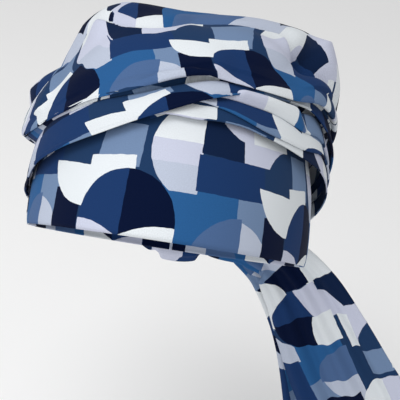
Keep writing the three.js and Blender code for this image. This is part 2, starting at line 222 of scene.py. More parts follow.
# %% How far out each layer lies
# Distances from the head form, in millimetres. A stretch round the head has four turns, in degrees: where it
# starts, is full, is still full and ends.
CLOTH = 1.1
GAP = 0.5
PLEAT_RISE = 1.5
HEM_RISE = 0.5
ROLL_SWELL = 3.6
LOOSENESS = 9.0
LOOSE_AT_RIM = 0.1
PRESSED_IN = 1.6
RIGHT_TEMPLE = (-178, -150, -72, -50)
UNDER_WRAP_OUT = GAP + CLOTH + GAP


def seat_at(turn):
    """The rise at which the crown's roll sits, read from its table."""
    return read(ROLL_SEAT, "seat", turn)


def pleat_height(turn):
    """How far a pleat's edge stands up: pleat rise * the table's stand, and never below 0."""
    return PLEAT_RISE * np.maximum(read(RIGHT_WRAP, "stand", turn), 0)


def over_wrap_out(turn):
    """The upper wrap's inner face: the under wrap's distance + its cloth + its pleats + a gap."""
    return UNDER_WRAP_OUT + CLOTH + pleat_height(turn) + GAP


def lip_out(turn):
    """The roll's inner face: the upper wrap's distance + its cloth + its hem + a gap."""
    return over_wrap_out(turn) + CLOTH + HEM_RISE + GAP


def loose_at(turn, rise):
    """The wraps go straight over the head's hollows: looseness * the table's share at that turn * a height
    share, which grows from a tenth at the rim to 1 at the seat."""
    share = np.clip(rise / seat_at(turn), 0, 1)
    return LOOSENESS * read(ROLL_SEAT, "loose", turn) * (LOOSE_AT_RIM + (1 - LOOSE_AT_RIM) * share)


def pressed_at(turn):
    """How far the layers are pressed to the head: 1 from the right temple to the back, 0 elsewhere."""
    return window(turn, *RIGHT_TEMPLE)


def roll_out(turn):
    """The roll's outer face at its seat: inner face + cloth + looseness there + swell * the table's size."""
    loose = loose_at(turn, seat_at(turn))
    return lip_out(turn) + CLOTH + loose + ROLL_SWELL * read(ROLL_SEAT, "size", turn)


print("roll's outer face at the front, mm", round(float(roll_out(0.0)), 1))


# %% [markdown]
# The crown is a smooth drape over the front of the head and a full bag behind a deep crease. It could be
# two pieces, but the real cloth goes on unbroken through the crease, so one function of turn and rise
# gives how far it stands out.

# %% How far the crown stands out
# A name with TURNS or RISES says, in degrees, where a share is 0 and where it is 1. Fullness, depth and tuck
# are in millimetres, spread and height up from the lip in degrees.
BAG_FULLNESS = 37.0
DRAPE_FULLNESS = 9.5
DRAPE_CORNER = 9.0
CORNER_RISES = (36, 54, 62, 84)
CREASE_PLACE = 14.0
CREASE_BOW = 16.0
CREASE_FORWARD = 15.0
RIGHT_BROW = (-66, -46, -20, 0)
CREASE_WIDTH = 9.0
CREASE_DEPTH = 4.0
GATHER_DEPTH = 2.0
GATHER_COUNT = 16
GATHER_TURNS = (95, 140)
GATHER_RISES = (70, 35)
ROLL_FULL = 4.0
ROLL_SPREAD = 15.0
LEFT_SPREAD_LESS = 6.0
LEFT_EAR = (60, 85, 110, 130)
LIP_TUCK = 3.2
TUCK_HEIGHT = 9.0
RIGHT_TUCK_LESS = 0.8
RIGHT_TUCK_TURNS = (-68, -90)
LEFT_TUCK_TURNS = (66, 50)
BEHIND_TUCK_TURNS = (90, 60)
BROW_TUCK_LESS = 0.85
MIDDLE_BROW = (-26, -14, 12, 22)


def bag_at(turn, rise):
    """The two nearest heights of the bag's table, mixed by how far the rise is between them."""
    k = np.clip(np.searchsorted(BAG_HEIGHTS, rise, side="right"), 1, len(BAG_HEIGHTS) - 1)
    columns = np.stack([read(BAG_SHAPE, f"at{int(height)}", turn) for height in BAG_HEIGHTS])
    low = np.take_along_axis(columns, (k - 1)[None], 0)[0]
    high = np.take_along_axis(columns, k[None], 0)[0]
    t = np.clip((rise - BAG_HEIGHTS[k - 1]) / (BAG_HEIGHTS[k] - BAG_HEIGHTS[k - 1]), 0, 1)
    return BAG_FULLNESS * (low + (high - low) * t)


def from_crease(turn, rise):
    """How far a place is behind the crease, which bows back at the sides as the square of the breadth and
    comes forward above the right brow."""
    place = on_head(turn, rise, DRAPE_FULLNESS)
    forward = CREASE_FORWARD * window(turn, *RIGHT_BROW)
    return place[..., 1] + forward - CREASE_PLACE - CREASE_BOW * (place[..., 0] / RIM_HALF_BREADTH) ** 2


def lip_tuck(turn, rise, lip):
    """How far the cloth is drawn in above the lip: tuck * share by the rise * share by the turn, which is
    less over the brow and at the right ear, and none behind both ears."""
    low_share = 1 - ease(lip, lip + TUCK_HEIGHT, rise)
    right_share = 1 - RIGHT_TUCK_LESS * ease(*RIGHT_TUCK_TURNS, turn)
    left_share = ease(*LEFT_TUCK_TURNS, turn)
    brow_share = 1 - BROW_TUCK_LESS * window(turn, *MIDDLE_BROW)
    behind_share = ease(*BEHIND_TUCK_TURNS, np.abs(turn))
    return LIP_TUCK * low_share * right_share * left_share * brow_share * behind_share


def crown_out(turn, rise):
    """Drape + share behind the crease * (bag - drape) - crease + gathers, swollen to the roll near its lip
    and drawn in by the tuck above it."""
    lip = seat_at(turn) - read(ROLL_SEAT, "droop", turn)
    back = from_crease(turn, rise)
    behind = ease(-CREASE_WIDTH / 2, 2 * CREASE_WIDTH, back)
    crease = CREASE_DEPTH * np.exp(-((back / CREASE_WIDTH) ** 2))
    gathered = ease(*GATHER_TURNS, np.abs(turn)) * ease(*GATHER_RISES, rise)
    gathers = GATHER_DEPTH * gathered * np.cos(GATHER_COUNT * np.radians(turn))
    corner = DRAPE_CORNER * np.sin(2 * np.radians(turn)) ** 2 * window(rise, *CORNER_RISES)
    front = DRAPE_FULLNESS + corner
    drape = front + behind * (bag_at(turn, rise) - front) - crease + gathers
    swell = np.maximum(roll_out(turn) - drape, 0)
    spread = ROLL_SPREAD - LEFT_SPREAD_LESS * window(turn, *LEFT_EAR)
    rolled = 1 - ease(lip + ROLL_FULL, lip + spread, rise)
    return drape + swell * rolled - lip_tuck(turn, rise, lip)


bag_left = float(bag_at(np.array([90.0]), np.array([52.0]))[0])
print("the bag's greatest fullness at the left, mm", round(bag_left, 1))

# %% [markdown]
# Points become meshes in one place. Cloth could be drawn by hand, but a grid that is worked out as one array
# keeps the threads' directions, so each grid also gives every point its place on the flat cloth. The print
# and the weave are then laid out on the flat cloth, as in the real thing, and bend with the folds.

# %% Make a piece of cloth from a grid of points
def cloth_piece(name, points, flat, print_place, ring=False):
    """Points and their places on the flat cloth and on the print are arrays of lines by points, in
    millimetres. With ring set the last line of points joins the first, and the places have one line more."""
    lines, count, _ = points.shape
    index = np.arange(lines * count).reshape(lines, count)
    here = index if ring else index[:-1]
    ahead = np.roll(index, -1, 0) if ring else index[1:]
    quads = np.stack([here[:, :-1], ahead[:, :-1], ahead[:, 1:], here[:, 1:]], -1).reshape(-1, 4)
    mesh = bpy.data.meshes.new(name)
    mesh.from_pydata((points.reshape(-1, 3) / 1000).tolist(), [], quads.tolist())
    for layer_name, at in (("flat_cloth", flat), ("print_place", print_place)):
        corners = np.stack([at[:-1, :-1], at[1:, :-1], at[1:, 1:], at[:-1, 1:]], -2).reshape(-1, 2)
        layer = mesh.uv_layers.new(name=layer_name)
        layer.data.foreach_set("uv", corners.astype(np.float32).ravel())
    work = bmesh.new()
    work.from_mesh(mesh)
    bmesh.ops.remove_doubles(work, verts=work.verts, dist=1e-6)
    bmesh.ops.dissolve_degenerate(work, edges=work.edges, dist=1e-7)
    work.to_mesh(mesh)
    work.free()
    mesh.polygons.foreach_set("use_smooth", np.ones(len(mesh.polygons), bool))
    piece = bpy.data.objects.new(name, mesh)
    bpy.context.scene.collection.objects.link(piece)
    return piece


def wall(piece, thickness, offset=-1.0):
    """Solidify gives the sheet its thickness, inwards from the face that was worked out."""
    solidify = piece.modifiers.new("wall", "SOLIDIFY")
    solidify.thickness = thickness / 1000
    solidify.offset = offset
    solidify.use_even_offset = False
    return piece


def cloth_area(points, ring=False):
    """Half the length of each quad's diagonals' cross product, summed, in square metres."""
    grid = np.concatenate([points, points[:1]]) if ring else points
    first = grid[1:, 1:] - grid[:-1, :-1]
    second = grid[1:, :-1] - grid[:-1, 1:]
    return float(np.linalg.norm(np.cross(first, second), axis=-1).sum() / 2 / 1e6)


def run_lengths(points, axis):
    """The distance along the grid from its first line, as a running sum of the steps."""
    steps = np.linalg.norm(np.diff(points, axis=axis), axis=-1)
    start = np.zeros_like(np.take(steps, [0], axis))
    return np.cumsum(np.concatenate([start, steps], axis), axis)


WAVE_SINES = 5
WAVE_CALM = 2.2


def waves(along, across, seed, sizes, heights):
    """Soft unevenness: for each size, a sum of five sines of seeded direction and phase, whose lengths lie
    near that size, times its height / calm."""
    source = np.random.default_rng(seed)
    total = np.zeros(np.broadcast(along, across).shape)
    for size, height in zip(sizes, heights):
        for _ in range(WAVE_SINES):
            angle, phase = source.uniform(0, 2 * np.pi, 2)
            length = size * source.uniform(0.75, 1.35)
            run = along * np.cos(angle) + across * np.sin(angle)
            total = total + height / WAVE_CALM * np.sin(2 * np.pi * run / length + phase)
    return total


# %% Lay the print on the flat cloth
def laid_print(flat, marks, stiffness=0.0004):
    """Marks are rows of a place on the flat cloth and the point of the print that lies there. Between them
    the print bends like a thin plate: a plane, plus for each mark a weight * distance^2 * log distance."""
    marks = np.array(marks, float) / 100
    at, goal = marks[:, :2], marks[:, 2:]

    def bend(places):
        """distance^2 * log distance from each place to each mark."""
        apart = ((places[..., None, :] - at) ** 2).sum(-1)
        return apart * np.log(apart + 1e-12) / 2

    count = len(marks)
    plane = np.concatenate([np.ones((count, 1)), at], 1)
    whole = np.zeros((count + 3, count + 3))
    whole[:count, :count] = bend(at) + stiffness * np.eye(count)
    whole[:count, count:] = plane
    whole[count:, :count] = plane.T
    weights = np.linalg.solve(whole, np.concatenate([goal, np.zeros((3, 2))]))
    places = np.asarray(flat, float) / 100
    plane_at = np.concatenate([np.ones(places.shape[:-1] + (1,)), places], -1)
    return 100 * (bend(places) @ weights[:count] + plane_at @ weights[count:])


# %% Stations round the head, closer together at the front
def stations(count, pull=0.38):
    """turn = 180 * (u - pull / pi * sin(pi u)) for u from -1 to 1, so that the steps at the front are
    1 - pull of the even step."""
    u = np.linspace(-1, 1, count, endpoint=False)
    return 180 * (u - pull / np.pi * np.sin(np.pi * u))


# %% [markdown]
# The brow band is the plainest piece: one smooth strip that lies on the head, with its lower edge turned
# under. A flat strip bent to a cylinder would gape, so it follows the head form, and only shallow waves and a
# faint ridge where the turned hem ends break its face.

# %% Brow band
BAND_STATIONS = 440
BAND_ROWS = 30
BAND_BELOW_SEAT = 3.0
BAND_WALL = 1.0
BAND_WAVES = {"seed": 3, "sizes": [70, 28], "heights": [0.22, 0.1]}
BAND_WAVE_TURN = 1.2
BAND_WAVE_RISE = 2.0
HEM_RIDGE = 0.22
HEM_RIDGE_RISES = (4.0, 3.4)
EDGE_ROUND = 0.35
EDGE_ROUND_RISES = (1.0, 0.0)
band_turn = stations(BAND_STATIONS)
band_top = seat_at(band_turn) - BAND_BELOW_SEAT
share = np.linspace(0, 1, BAND_ROWS)
turn = band_turn[:, None]
rise = band_top[:, None] * share
out = waves(turn * BAND_WAVE_TURN, rise * BAND_WAVE_RISE, **BAND_WAVES) * ease(0, 6, rise)
out = out + HEM_RIDGE * ease(*HEM_RIDGE_RISES, rise) - EDGE_ROUND * ease(*EDGE_ROUND_RISES, rise)
out = out - PRESSED_IN * pressed_at(turn)
band_points = on_head(turn, rise, out)
round_run = run_lengths(np.concatenate([band_points, band_points[:1]])[:, :1], 0)
front = int(np.argmin(np.abs(band_turn)))
round_run = round_run - round_run[front]
up_run = run_lengths(band_points, 1)
up_run = np.concatenate([up_run, up_run[:1]])
band_flat = np.stack(np.broadcast_arrays(round_run, up_run), -1)
brow_band = wall(cloth_piece("brow_band_cloth", band_points, band_flat, band_flat, ring=True), BAND_WALL)
band_area = cloth_area(band_points, ring=True)
band_size = (float(np.ptp(round_run)) / 1000, float(up_run.max()) / 1000)
print("brow band flat, mm", [round(1000 * v) for v in band_size], "area, m2", round(band_area, 4))

# %% [markdown]
# The crown's lower edge is a roll: the cloth comes up from under the wraps, turns over and goes up again as
# the drape. A straight hem would look cut off, so the profile goes through half a round there. Its folds are
# tucks, where cloth lies over cloth: each one follows a line across the crown, drops sharply below that line
# and fades out above it.

# %% Folds across the crown
# Each fold is a line of places: turn, rise and height. To the right of the line's direction the cloth stands
# up by that height, in millimetres, over an edge of the given width, and sinks back over the given distance.
TOP_FOLD = [
    (-70, 45.0, 0.5), (-64, 49.0, 2.0), (-57, 51.5, 2.5), (-45, 51.0, 2.2), (-35.2, 49.7, 2),
    (-22.9, 50.6, 1.8), (-12, 55.0, 1.5), (-2.9, 60.0, 1.3), (8, 61.0, 1.2), (21, 60.4, 1.2),
    (34.5, 58.3, 1.5), (47.4, 57.3, 2), (53.5, 56.3, 2.6), (55.7, 54.5, 3.2), (57, 52.3, 3.8),
    (60, 50.7, 4), (63.6, 49.0, 4), (68, 46.8, 3.6), (72.5, 43.5, 3), (76, 40.0, 1.6), (79, 37.5, 0),
]
ROLL_FOLD = [
    (-19, 32.6, 0), (-13.6, 34.3, 1.6), (-8.8, 35.9, 2.6), (-1.2, 37.6, 2.8), (6.4, 38, 2.8),
    (11.2, 38.3, 1.6), (13, 39.0, 0),
]
LOBE_FOLD = [
    (-80, 47.0, 0), (-68, 41.0, 1.2), (-60, 35.0, 1.8), (-56.5, 30.0, 1.8), (-60, 25.5, 1.2),
    (-66, 22.5, 0),
]
FOLDS = [
    {"line": TOP_FOLD, "edge": 2.4, "fade": 9.0},
    {"line": ROLL_FOLD, "edge": 1.2, "fade": 14.0},
    {"line": LOBE_FOLD, "edge": 5.0, "fade": 16.0},
]
GROOVE_DEPTH = 0.45
GROOVE_WIDTH = 1.2
LINE_NODES = 60
LINE_SMOOTHINGS = 4
MAP_BREADTH = 85.0


def on_map(turn, rise):
    """A plain map of the head in millimetres: breadth * cos rise * turn across, form height * rise up."""
    across = MAP_BREADTH * np.cos(np.radians(rise)) * np.radians(turn)
    return np.stack(np.broadcast_arrays(across, FORM_HEIGHT * np.radians(rise)), -1)


def from_line(turn, rise, line):
    """The signed distance to a fold's line, + to the left of its direction, and its height there: of all its
    short pieces the nearest one counts, where the nearest point is the start + share * step. The line is cut
    into even nodes first, and each inner node is smoothed to (before + 2 * own + after) / 4."""
    nodes = np.array(line, float)
    even = np.linspace(0, len(nodes) - 1, LINE_NODES)
    nodes = np.stack([np.interp(even, np.arange(len(nodes)), nodes[:, k]) for k in range(3)], -1)
    for _ in range(LINE_SMOOTHINGS):
        nodes[1:-1] = (nodes[:-2] + 2 * nodes[1:-1] + nodes[2:]) / 4
    spot = on_map(nodes[:, 0], nodes[:, 1])
    start, step = spot[:-1], np.diff(spot, axis=0)
    towards = on_map(turn, rise)[..., None, :] - start
    share = np.clip((towards * step).sum(-1) / (step**2).sum(-1), 0, 1)
    away = towards - share[..., None] * step
    distance = np.linalg.norm(away, axis=-1)
    side = np.sign(step[:, 0] * towards[..., 1] - step[:, 1] * towards[..., 0])
    tall = nodes[:-1, 2] + share * np.diff(nodes[:, 2])
    nearest = distance.argmin(-1)[..., None]
    return [np.take_along_axis(values, nearest, -1)[..., 0] for values in (side * distance, tall)]


def folded(turn, rise, fold):
    """Height * (step at the line * exp(-distance / fade) - groove depth * a round groove beside the line)."""
    leftward, height = from_line(turn, rise, fold["line"])
    away = -leftward
    step = ease(-fold["edge"] / 2, fold["edge"] / 2, away)
    groove = np.exp(-(((away + fold["edge"]) / (GROOVE_WIDTH * fold["edge"])) ** 2))
    return height * (step * np.exp(-np.maximum(away, 0) / fold["fade"]) - GROOVE_DEPTH * groove)


# %% Crown
# The skirt is the hidden hem under the wraps. It goes down at the head form's own distance, so its lowest
# rows share their place with the top of the band.
CROWN_STATIONS = 384
CROWN_WALL = 0.8
CROWN_WAVES = {"seed": 11, "sizes": [60, 26], "heights": [0.55, 0.22]}
SKIRT_RISES = np.array([-7.5, -5.0, -2.5, -0.4])
SKIRT_PRESSED = 0.7
LIP_STEPS = 12
LIP_START = 0.2
LIP_OVERHANG = 0.35
ROLL_HALF_HEIGHT = 3.0
DRAPE_ROWS = 108
DRAPE_ROW_PULL = 1.12
TOP_FADE = (78, 88)
HOLLOW_MIDDLE = (68.5, 50.5)
HOLLOW_DEPTH = 8.0
HOLLOW_WIDTH = 9.0
crown_turn = stations(CROWN_STATIONS)[:, None]
crown_seat = seat_at(crown_turn)
crown_lip = crown_seat - read(ROLL_SEAT, "droop", crown_turn)
foot = lip_out(crown_turn) + loose_at(crown_turn, crown_seat)
first = crown_lip + ROLL_HALF_HEIGHT
belly = crown_out(crown_turn, first)

skirt_rise = crown_seat + SKIRT_RISES
skirt_out = np.broadcast_to(-(SKIRT_PRESSED + PRESSED_IN) * pressed_at(crown_turn), skirt_rise.shape)

turning = np.linspace(0, np.pi, LIP_STEPS)
lip_rise = first - (first - crown_lip + LIP_OVERHANG) * np.sin(turning)
lip_face = foot + (belly - foot) * (1 - np.cos(turning)) / 2
lip_rise[:, :1] = crown_seat - LIP_START
lip_face = lip_face + folded(crown_turn, lip_rise, FOLDS[1]) * np.sin(turning / 2)

up = np.linspace(0, 1, DRAPE_ROWS + 1)[1:] ** DRAPE_ROW_PULL
drape_rise = first + (90 - first) * up
drape_out = crown_out(crown_turn, drape_rise)
fade_top = 1 - ease(*TOP_FADE, drape_rise)
for fold in FOLDS:
    drape_out = drape_out + folded(crown_turn, drape_rise, fold) * fade_top
from_hollow = on_map(crown_turn, drape_rise) - on_map(*HOLLOW_MIDDLE)
from_hollow = np.linalg.norm(from_hollow, axis=-1)
drape_out = drape_out - HOLLOW_DEPTH * np.exp(-((from_hollow / HOLLOW_WIDTH) ** 2))
place = on_head(crown_turn, drape_rise, drape_out)
drape_out = drape_out + waves(place[..., 0], place[..., 1], **CROWN_WAVES) * fade_top

crown_rise = np.concatenate([skirt_rise, lip_rise, drape_rise], 1)
crown_face = np.concatenate([skirt_out, lip_face, drape_out], 1)
crown_points = on_head(crown_turn, crown_rise, crown_face)
print("crown grid", crown_points.shape)

# %% The crown laid flat
CROWN_HALF_BREADTH = 81.0
CROWN_HALF_LENGTH = 110.5


def crown_flat_cloth(turn, rise):
    """The crown laid flat from its middle: half breadth * angle down * sin turn across, -half length * angle
    down * cos turn back."""
    down = np.radians(90 - rise)
    t = np.radians(turn)
    across = CROWN_HALF_BREADTH * down * np.sin(t)
    return np.stack(np.broadcast_arrays(across, -CROWN_HALF_LENGTH * down * np.cos(t)), -1)


flat_rim = crown_flat_cloth(np.array([90.0, 180.0]), 0.0)
print("crown's flat half breadth and half length, mm", flat_rim.max(0).round())

# %% [markdown]
# The crown's print is the real one's where the photograph shows it. It could be wrapped on by one plane, but
# the real cloth is pulled and folded, so listed marks say which point of the print lies where. A second set
# of marks serves the bag, where the cloth comes out again from under the top fold.

# %% Marks of the crown's print
# Each mark is a turn, a rise, and the point of the print that lies there, in millimetres. At the back the
# print goes on straight.
FRONT_MARKS = [
    (-8.8, 47, -59.4, 30.2), (10.6, 46.6, -34, 28.5), (10.6, 48.7, -34, 33.5),
    (28.9, 50.3, -12.5, 36.5), (26.9, 46.6, -13.5, 29), (24.9, 46.2, -15.6, 28.8),
    (31, 37.3, -15.6, -0.9), (12.4, 39.6, -36.8, 5.5), (11.2, 42, -36.2, 10), (38.9, 44.3, 1.1, 22.5),
    (45.8, 44.3, 7.5, 23.5), (35.9, 47.2, -6, 31), (48.2, 39.8, 7.5, 7), (60.9, 38.9, 34, 16),
    (51.5, 43.9, 13.8, 23.5), (60.9, 40.7, 33, 23.5), (65.4, 51.5, 14.8, 39), (74, 47, 37, 40),
    (-16, 43, -73.5, 23.5), (-7, 44.7, -57.5, 23.5), (-10, 40.5, -68.5, 15), (-9.4, 37.1, -68.5, 5),
    (-26.2, 30.9, -93.4, -9), (-21.7, 38, -84.6, 9.2), (-31.7, 39.6, -92.5, 23.5),
    (-35.9, 45.4, -91.5, 40), (-21, 49, -66, 40), (-58.3, 44.5, -114.5, 42), (-46.6, 39.2, -107.5, 25),
    (-48.2, 34.7, -122.1, 28.5), (-45, 25.4, -122.1, 1), (-34.5, 34.5, -103, 17),
    (-38.1, 36.3, -107, 22), (-41.1, 37.9, -104, 24.6), (-31.7, 32.4, -99, 7),
    (-29.6, 29.5, -99, -2.5), (-52.3, 37.5, -119, 36.5), (-56.5, 29.9, -140.5, 33.5),
    (-55.7, 29.1, -140.5, 28.5), (-63.6, 25.1, -165.9, 30.2), (-62.7, 34.2, -140.5, 48),
]
BAG_MARKS = [
    (-33.1, 55.4, -68.9, 76), (-38.9, 59.6, -68.9, 84), (-18.5, 57, -45.3, 74),
    (-24.9, 63.3, -45.3, 84), (-4.7, 63.3, -28, 73), (23.6, 63.5, -17.5, 72), (50.6, 60.9, -6.5, 70),
    (-45, 55.2, -88, 78), (60.9, 38.9, 34, 16), (60.9, 40.7, 33, 23.5), (65.4, 51.5, 14.8, 39),
    (74, 47, 37, 40), (-58.3, 44.5, -114.5, 42), (-46.6, 39.2, -107.5, 25),
    (-48.2, 34.7, -122.1, 28.5), (-52.3, 37.5, -119, 36.5), (-56.5, 29.9, -140.5, 33.5),
    (-55.7, 29.1, -140.5, 28.5), (-63.6, 25.1, -165.9, 30.2), (-62.7, 34.2, -140.5, 48),
]
BACK_MARKS = [
    (180, 18, -21, 242), (180, 45, -28, 188), (180, 70, -35, 138), (150, 30, 18, 196),
    (-150, 30, -71, 208), (120, 25, 51, 152), (-120, 25, -115, 174), (120, 50, 16, 131),
    (-120, 50, -86, 145), (-90, 72, -67, 101), (90, 72, -14, 94), (0, 88, -41, 94),
    (-95, 22, -139, 123), (95, 28, 52, 96),
]


# %% Lay the crown's print
# The pairs say where a share is 0 and where it is 1: millimetres from a fold, its height, or degrees of turn.
BEHIND_TOP_FOLD = (0.3, 1.2)
TOP_FOLD_OPEN = (0.1, 0.9)
BAG_FROM_TURN = (-53, -45)
UNDER_ROLL_FOLD = (0.2, -0.2)
ROLL_FOLD_OPEN = (0.7, 0.9)
ROLL_PRINT_SIDE = 2.0
ROLL_PRINT_RUN = 41.0
ROLL_PRINT_RATE = 1.5
RATE_SMOOTHINGS = 12
RATE_SPAN = 6


def crown_print(turn, rise, flat):
    """The print by its marks: front + share behind the top fold * (bag - front). On the roll under the front
    fold the cloth is twisted a quarter round, so there the print goes up with the turn."""
    fields = []
    for own in (FRONT_MARKS, BAG_MARKS):
        marks = np.array(own + BACK_MARKS)
        at = crown_flat_cloth(marks[:, 0], marks[:, 1])
        fields.append(laid_print(flat, np.concatenate([at, marks[:, 2:]], 1)))
    behind, height = from_line(turn, rise, TOP_FOLD)
    share = ease(*BEHIND_TOP_FOLD, behind) * ease(*TOP_FOLD_OPEN, height) * ease(*BAG_FROM_TURN, turn)
    laid = fields[0] + (fields[1] - fields[0]) * share[..., None]
    away, height = from_line(turn, rise, ROLL_FOLD)
    across = ROLL_PRINT_SIDE - ROLL_PRINT_RATE * away
    twisted = np.stack(np.broadcast_arrays(across, ROLL_PRINT_RUN + turn), -1)
    share = ease(*UNDER_ROLL_FOLD, away) * ease(*ROLL_FOLD_OPEN, height)
    return laid + (twisted - laid) * share[..., None]


def go_on_down(grid, points, start):
    """Below row `start` the cloth turns under: print at start + rate * the cloth's length down from there.
    The rate is the print's over the span of rows above, smoothed round the ring with its neighbours."""
    steps = np.linalg.norm(np.diff(points, axis=1), axis=-1)
    above = start + RATE_SPAN
    rate = (grid[:, start] - grid[:, above]) / steps[:, start:above].sum(axis=1)[:, None]
    for _ in range(RATE_SMOOTHINGS):
        rate = (np.roll(rate, 1, axis=0) + 2 * rate + np.roll(rate, -1, axis=0)) / 4
    down = np.cumsum(steps[:, start - 1 :: -1], axis=1)[:, ::-1]
    grid = grid.copy()
    grid[:, :start] = grid[:, start : start + 1] + rate[:, None, :] * down[..., None]
    return grid


# %% Sew the crown
ROWS_ABOVE_LIP = 2
crown_flat = crown_flat_cloth(crown_turn, crown_rise)
crown_laid = crown_print(crown_turn, crown_rise, crown_flat)
turned_rows = skirt_rise.shape[1] + lip_rise.shape[1]
crown_laid = go_on_down(crown_laid, crown_points, turned_rows + ROWS_ABOVE_LIP)
crown_flat = np.concatenate([crown_flat, crown_flat[:1]])
crown_laid = np.concatenate([crown_laid, crown_laid[:1]])
crown = wall(cloth_piece("crown_cloth", crown_points, crown_flat, crown_laid, ring=True), CROWN_WALL)
crown_area = cloth_area(crown_points, ring=True)
print("crown area, m2", round(crown_area, 4), "faces", len(crown.data.polygons))

# %% [markdown]
# A wrap is a long strip with a low and a high edge that change as it goes round. The left wrap is smooth and
# shows a fine rolled hem; the right wrap lies in pleats, one over the other. The pleats are one cloth, so the
# profile turns under at each pleat's edge and comes out again below it.

# %% Helpers for the wraps
MM_PER_DEGREE = FORM_HEIGHT * np.radians(1)
WRAP_STATIONS = 460
WRAP_END = 178.0
WRAP_WAVE_TURN = 1.5
PRESSED_LOOSE = 0.35


def strip_turns(count):
    """Stations from one end of the strip to the other, both two degrees short of the nape."""
    return np.clip(np.append(stations(count), 180.0), -WRAP_END, WRAP_END)[:, None]


def strip_flat(points):
    """Along: the run of the strip's middle line from the front. Across: the run up from its lower edge."""
    middle = points.shape[1] // 2
    along = run_lengths(points[:, middle : middle + 1], 0)
    front = int(np.argmin(np.abs(points[:, middle, 0]) + (points[:, middle, 1] > 0) * 1e6))
    across = run_lengths(points, 1)
    return np.stack(np.broadcast_arrays(along - along[front], across), -1)


def strip_print(flat, turn, low, marks, ends):
    """The print by its marks. Their turn gives the place along the strip, and (rise - low edge) * millimetres
    a degree the place across it."""
    marks = np.array(marks)
    along = np.interp(marks[:, 0], turn[:, 0], flat[:, 0, 0])
    across = (marks[:, 1] - np.interp(marks[:, 0], turn[:, 0], low[:, 0])) * MM_PER_DEGREE
    at = np.stack([along, across, marks[:, 2], marks[:, 3]], 1)
    return laid_print(flat, np.concatenate([at, ends]))


def pressed_face(face, pressed_out, turn, rise):
    """Where a wrap is pressed on: face + pressed share * (pressed distance + a little looseness - face)."""
    pressed = pressed_out - PRESSED_IN + PRESSED_LOOSE * loose_at(turn, rise)
    return face + (pressed - face) * pressed_at(turn)


# %% Marks of the wraps' print
# Marks are rows of a turn, a rise and the point of the print there. Ends are rows of a place along and across
# the flat strip and the point of the print there, for the stretches out of sight.
LEFT_MARKS = [
    (-33.4, 23.8, -59.4, 30.2), (-16.9, 27.3, -34, 28.5), (-19.5, 29.8, -34, 33.5),
    (-4.9, 34.3, -12.5, 36.5), (-3.4, 32.6, -13.5, 29), (-2.4, 28, -15.6, 20), (1.9, 35.8, -6.5, 34),
    (19.5, 35.4, 13.8, 23.5), (13.8, 33.8, 5, 21), (-54.8, 13.1, -93, 23.5), (-57.7, 21.5, -91.7, 42),
    (-37.6, 17.8, -73.5, 22.5),
]
LEFT_ENDS = [
    (-150, 0, -158, 14), (-150, 20, -158, 34), (-260, 10, -268, 24), (90, 0, 80, 12), (90, 20, 80, 32),
    (180, 10, 170, 22), (270, 10, 260, 22),
]
RIGHT_MARKS = [
    (30.5, 30, 34, 23.5), (40.1, 34, 47.1, 30.2), (56.2, 30, 72.5, 28.5), (56.9, 31.7, 72.5, 33.5),
    (73, 30.2, 94, 36.5), (43.9, 26.2, 53.5, 17.8), (54.1, 24.7, 71, 14), (57.7, 27.1, 78, 24.5),
    (18.4, 31.7, 18, 23.5),
]
TOP_ROLL_MARKS = [
    (22, 36, -36, 0), (22, 37.4, -36, 3), (35.5, 35.5, -15.6, -4), (35.5, 37.2, -15.6, 1),
    (51, 32.5, 7.5, -6), (51, 36, 7.5, 0), (60, 31, 20, -8), (60, 36, 20, 0),
]
RIGHT_ENDS = [
    (-20, 0, -21, 12), (-20, 15, -21, 27), (-120, 10, -121, 22), (-260, 10, -261, 22),
    (140, 0, 138, 16), (140, 20, 138, 36), (270, 10, 268, 26),
]

# %% Left wrap
HEM_ROWS = [0, 0.012, 0.03, 0.055, 0.08, 0.1, 0.125]
HEM_STRETCH = (0.0, 0.03, 0.085, 0.125)
HEM_ROLL = 0.55
STITCH_ROW = 0.055
STITCH_WIDTH = 0.012
STITCH_DEPTH = 0.25
LEFT_PRESSED_OUT = 2.3
LEFT_WALL = 0.8
LEFT_WAVES = {"seed": 21, "sizes": [90, 34], "heights": [0.35, 0.16]}
LEFT_WAVE_RISE = 2.2
wrap_turn = strip_turns(WRAP_STATIONS)
low = read(LEFT_WRAP, "low", wrap_turn)
high = seat_at(wrap_turn) - read(LEFT_WRAP, "below", wrap_turn)
share = np.concatenate([HEM_ROWS, np.linspace(0.16, 1, 24)])
rise = low + (high - low) * share
face = over_wrap_out(wrap_turn) + CLOTH + loose_at(wrap_turn, rise)
face = pressed_face(face, LEFT_PRESSED_OUT, wrap_turn, rise)
hem_roll = HEM_ROLL * window(share, *HEM_STRETCH)
stitch_line = STITCH_DEPTH * np.exp(-(((share - STITCH_ROW) / STITCH_WIDTH) ** 2))
pull = waves(wrap_turn * WRAP_WAVE_TURN, rise * LEFT_WAVE_RISE, **LEFT_WAVES)
left_points = on_head(wrap_turn, rise, face + hem_roll - stitch_line + pull * ease(0.1, 0.4, share))
left_flat = strip_flat(left_points)
left_up = np.stack([left_flat[..., 0], (rise - low) * MM_PER_DEGREE], -1)
left_print = strip_print(left_up, wrap_turn, low, LEFT_MARKS, LEFT_ENDS)
left_wrap = wall(cloth_piece("left_wrap_cloth", left_points, left_flat, left_print), LEFT_WALL)
left_area = cloth_area(left_points)
print("left wrap area, m2", round(left_area, 4))

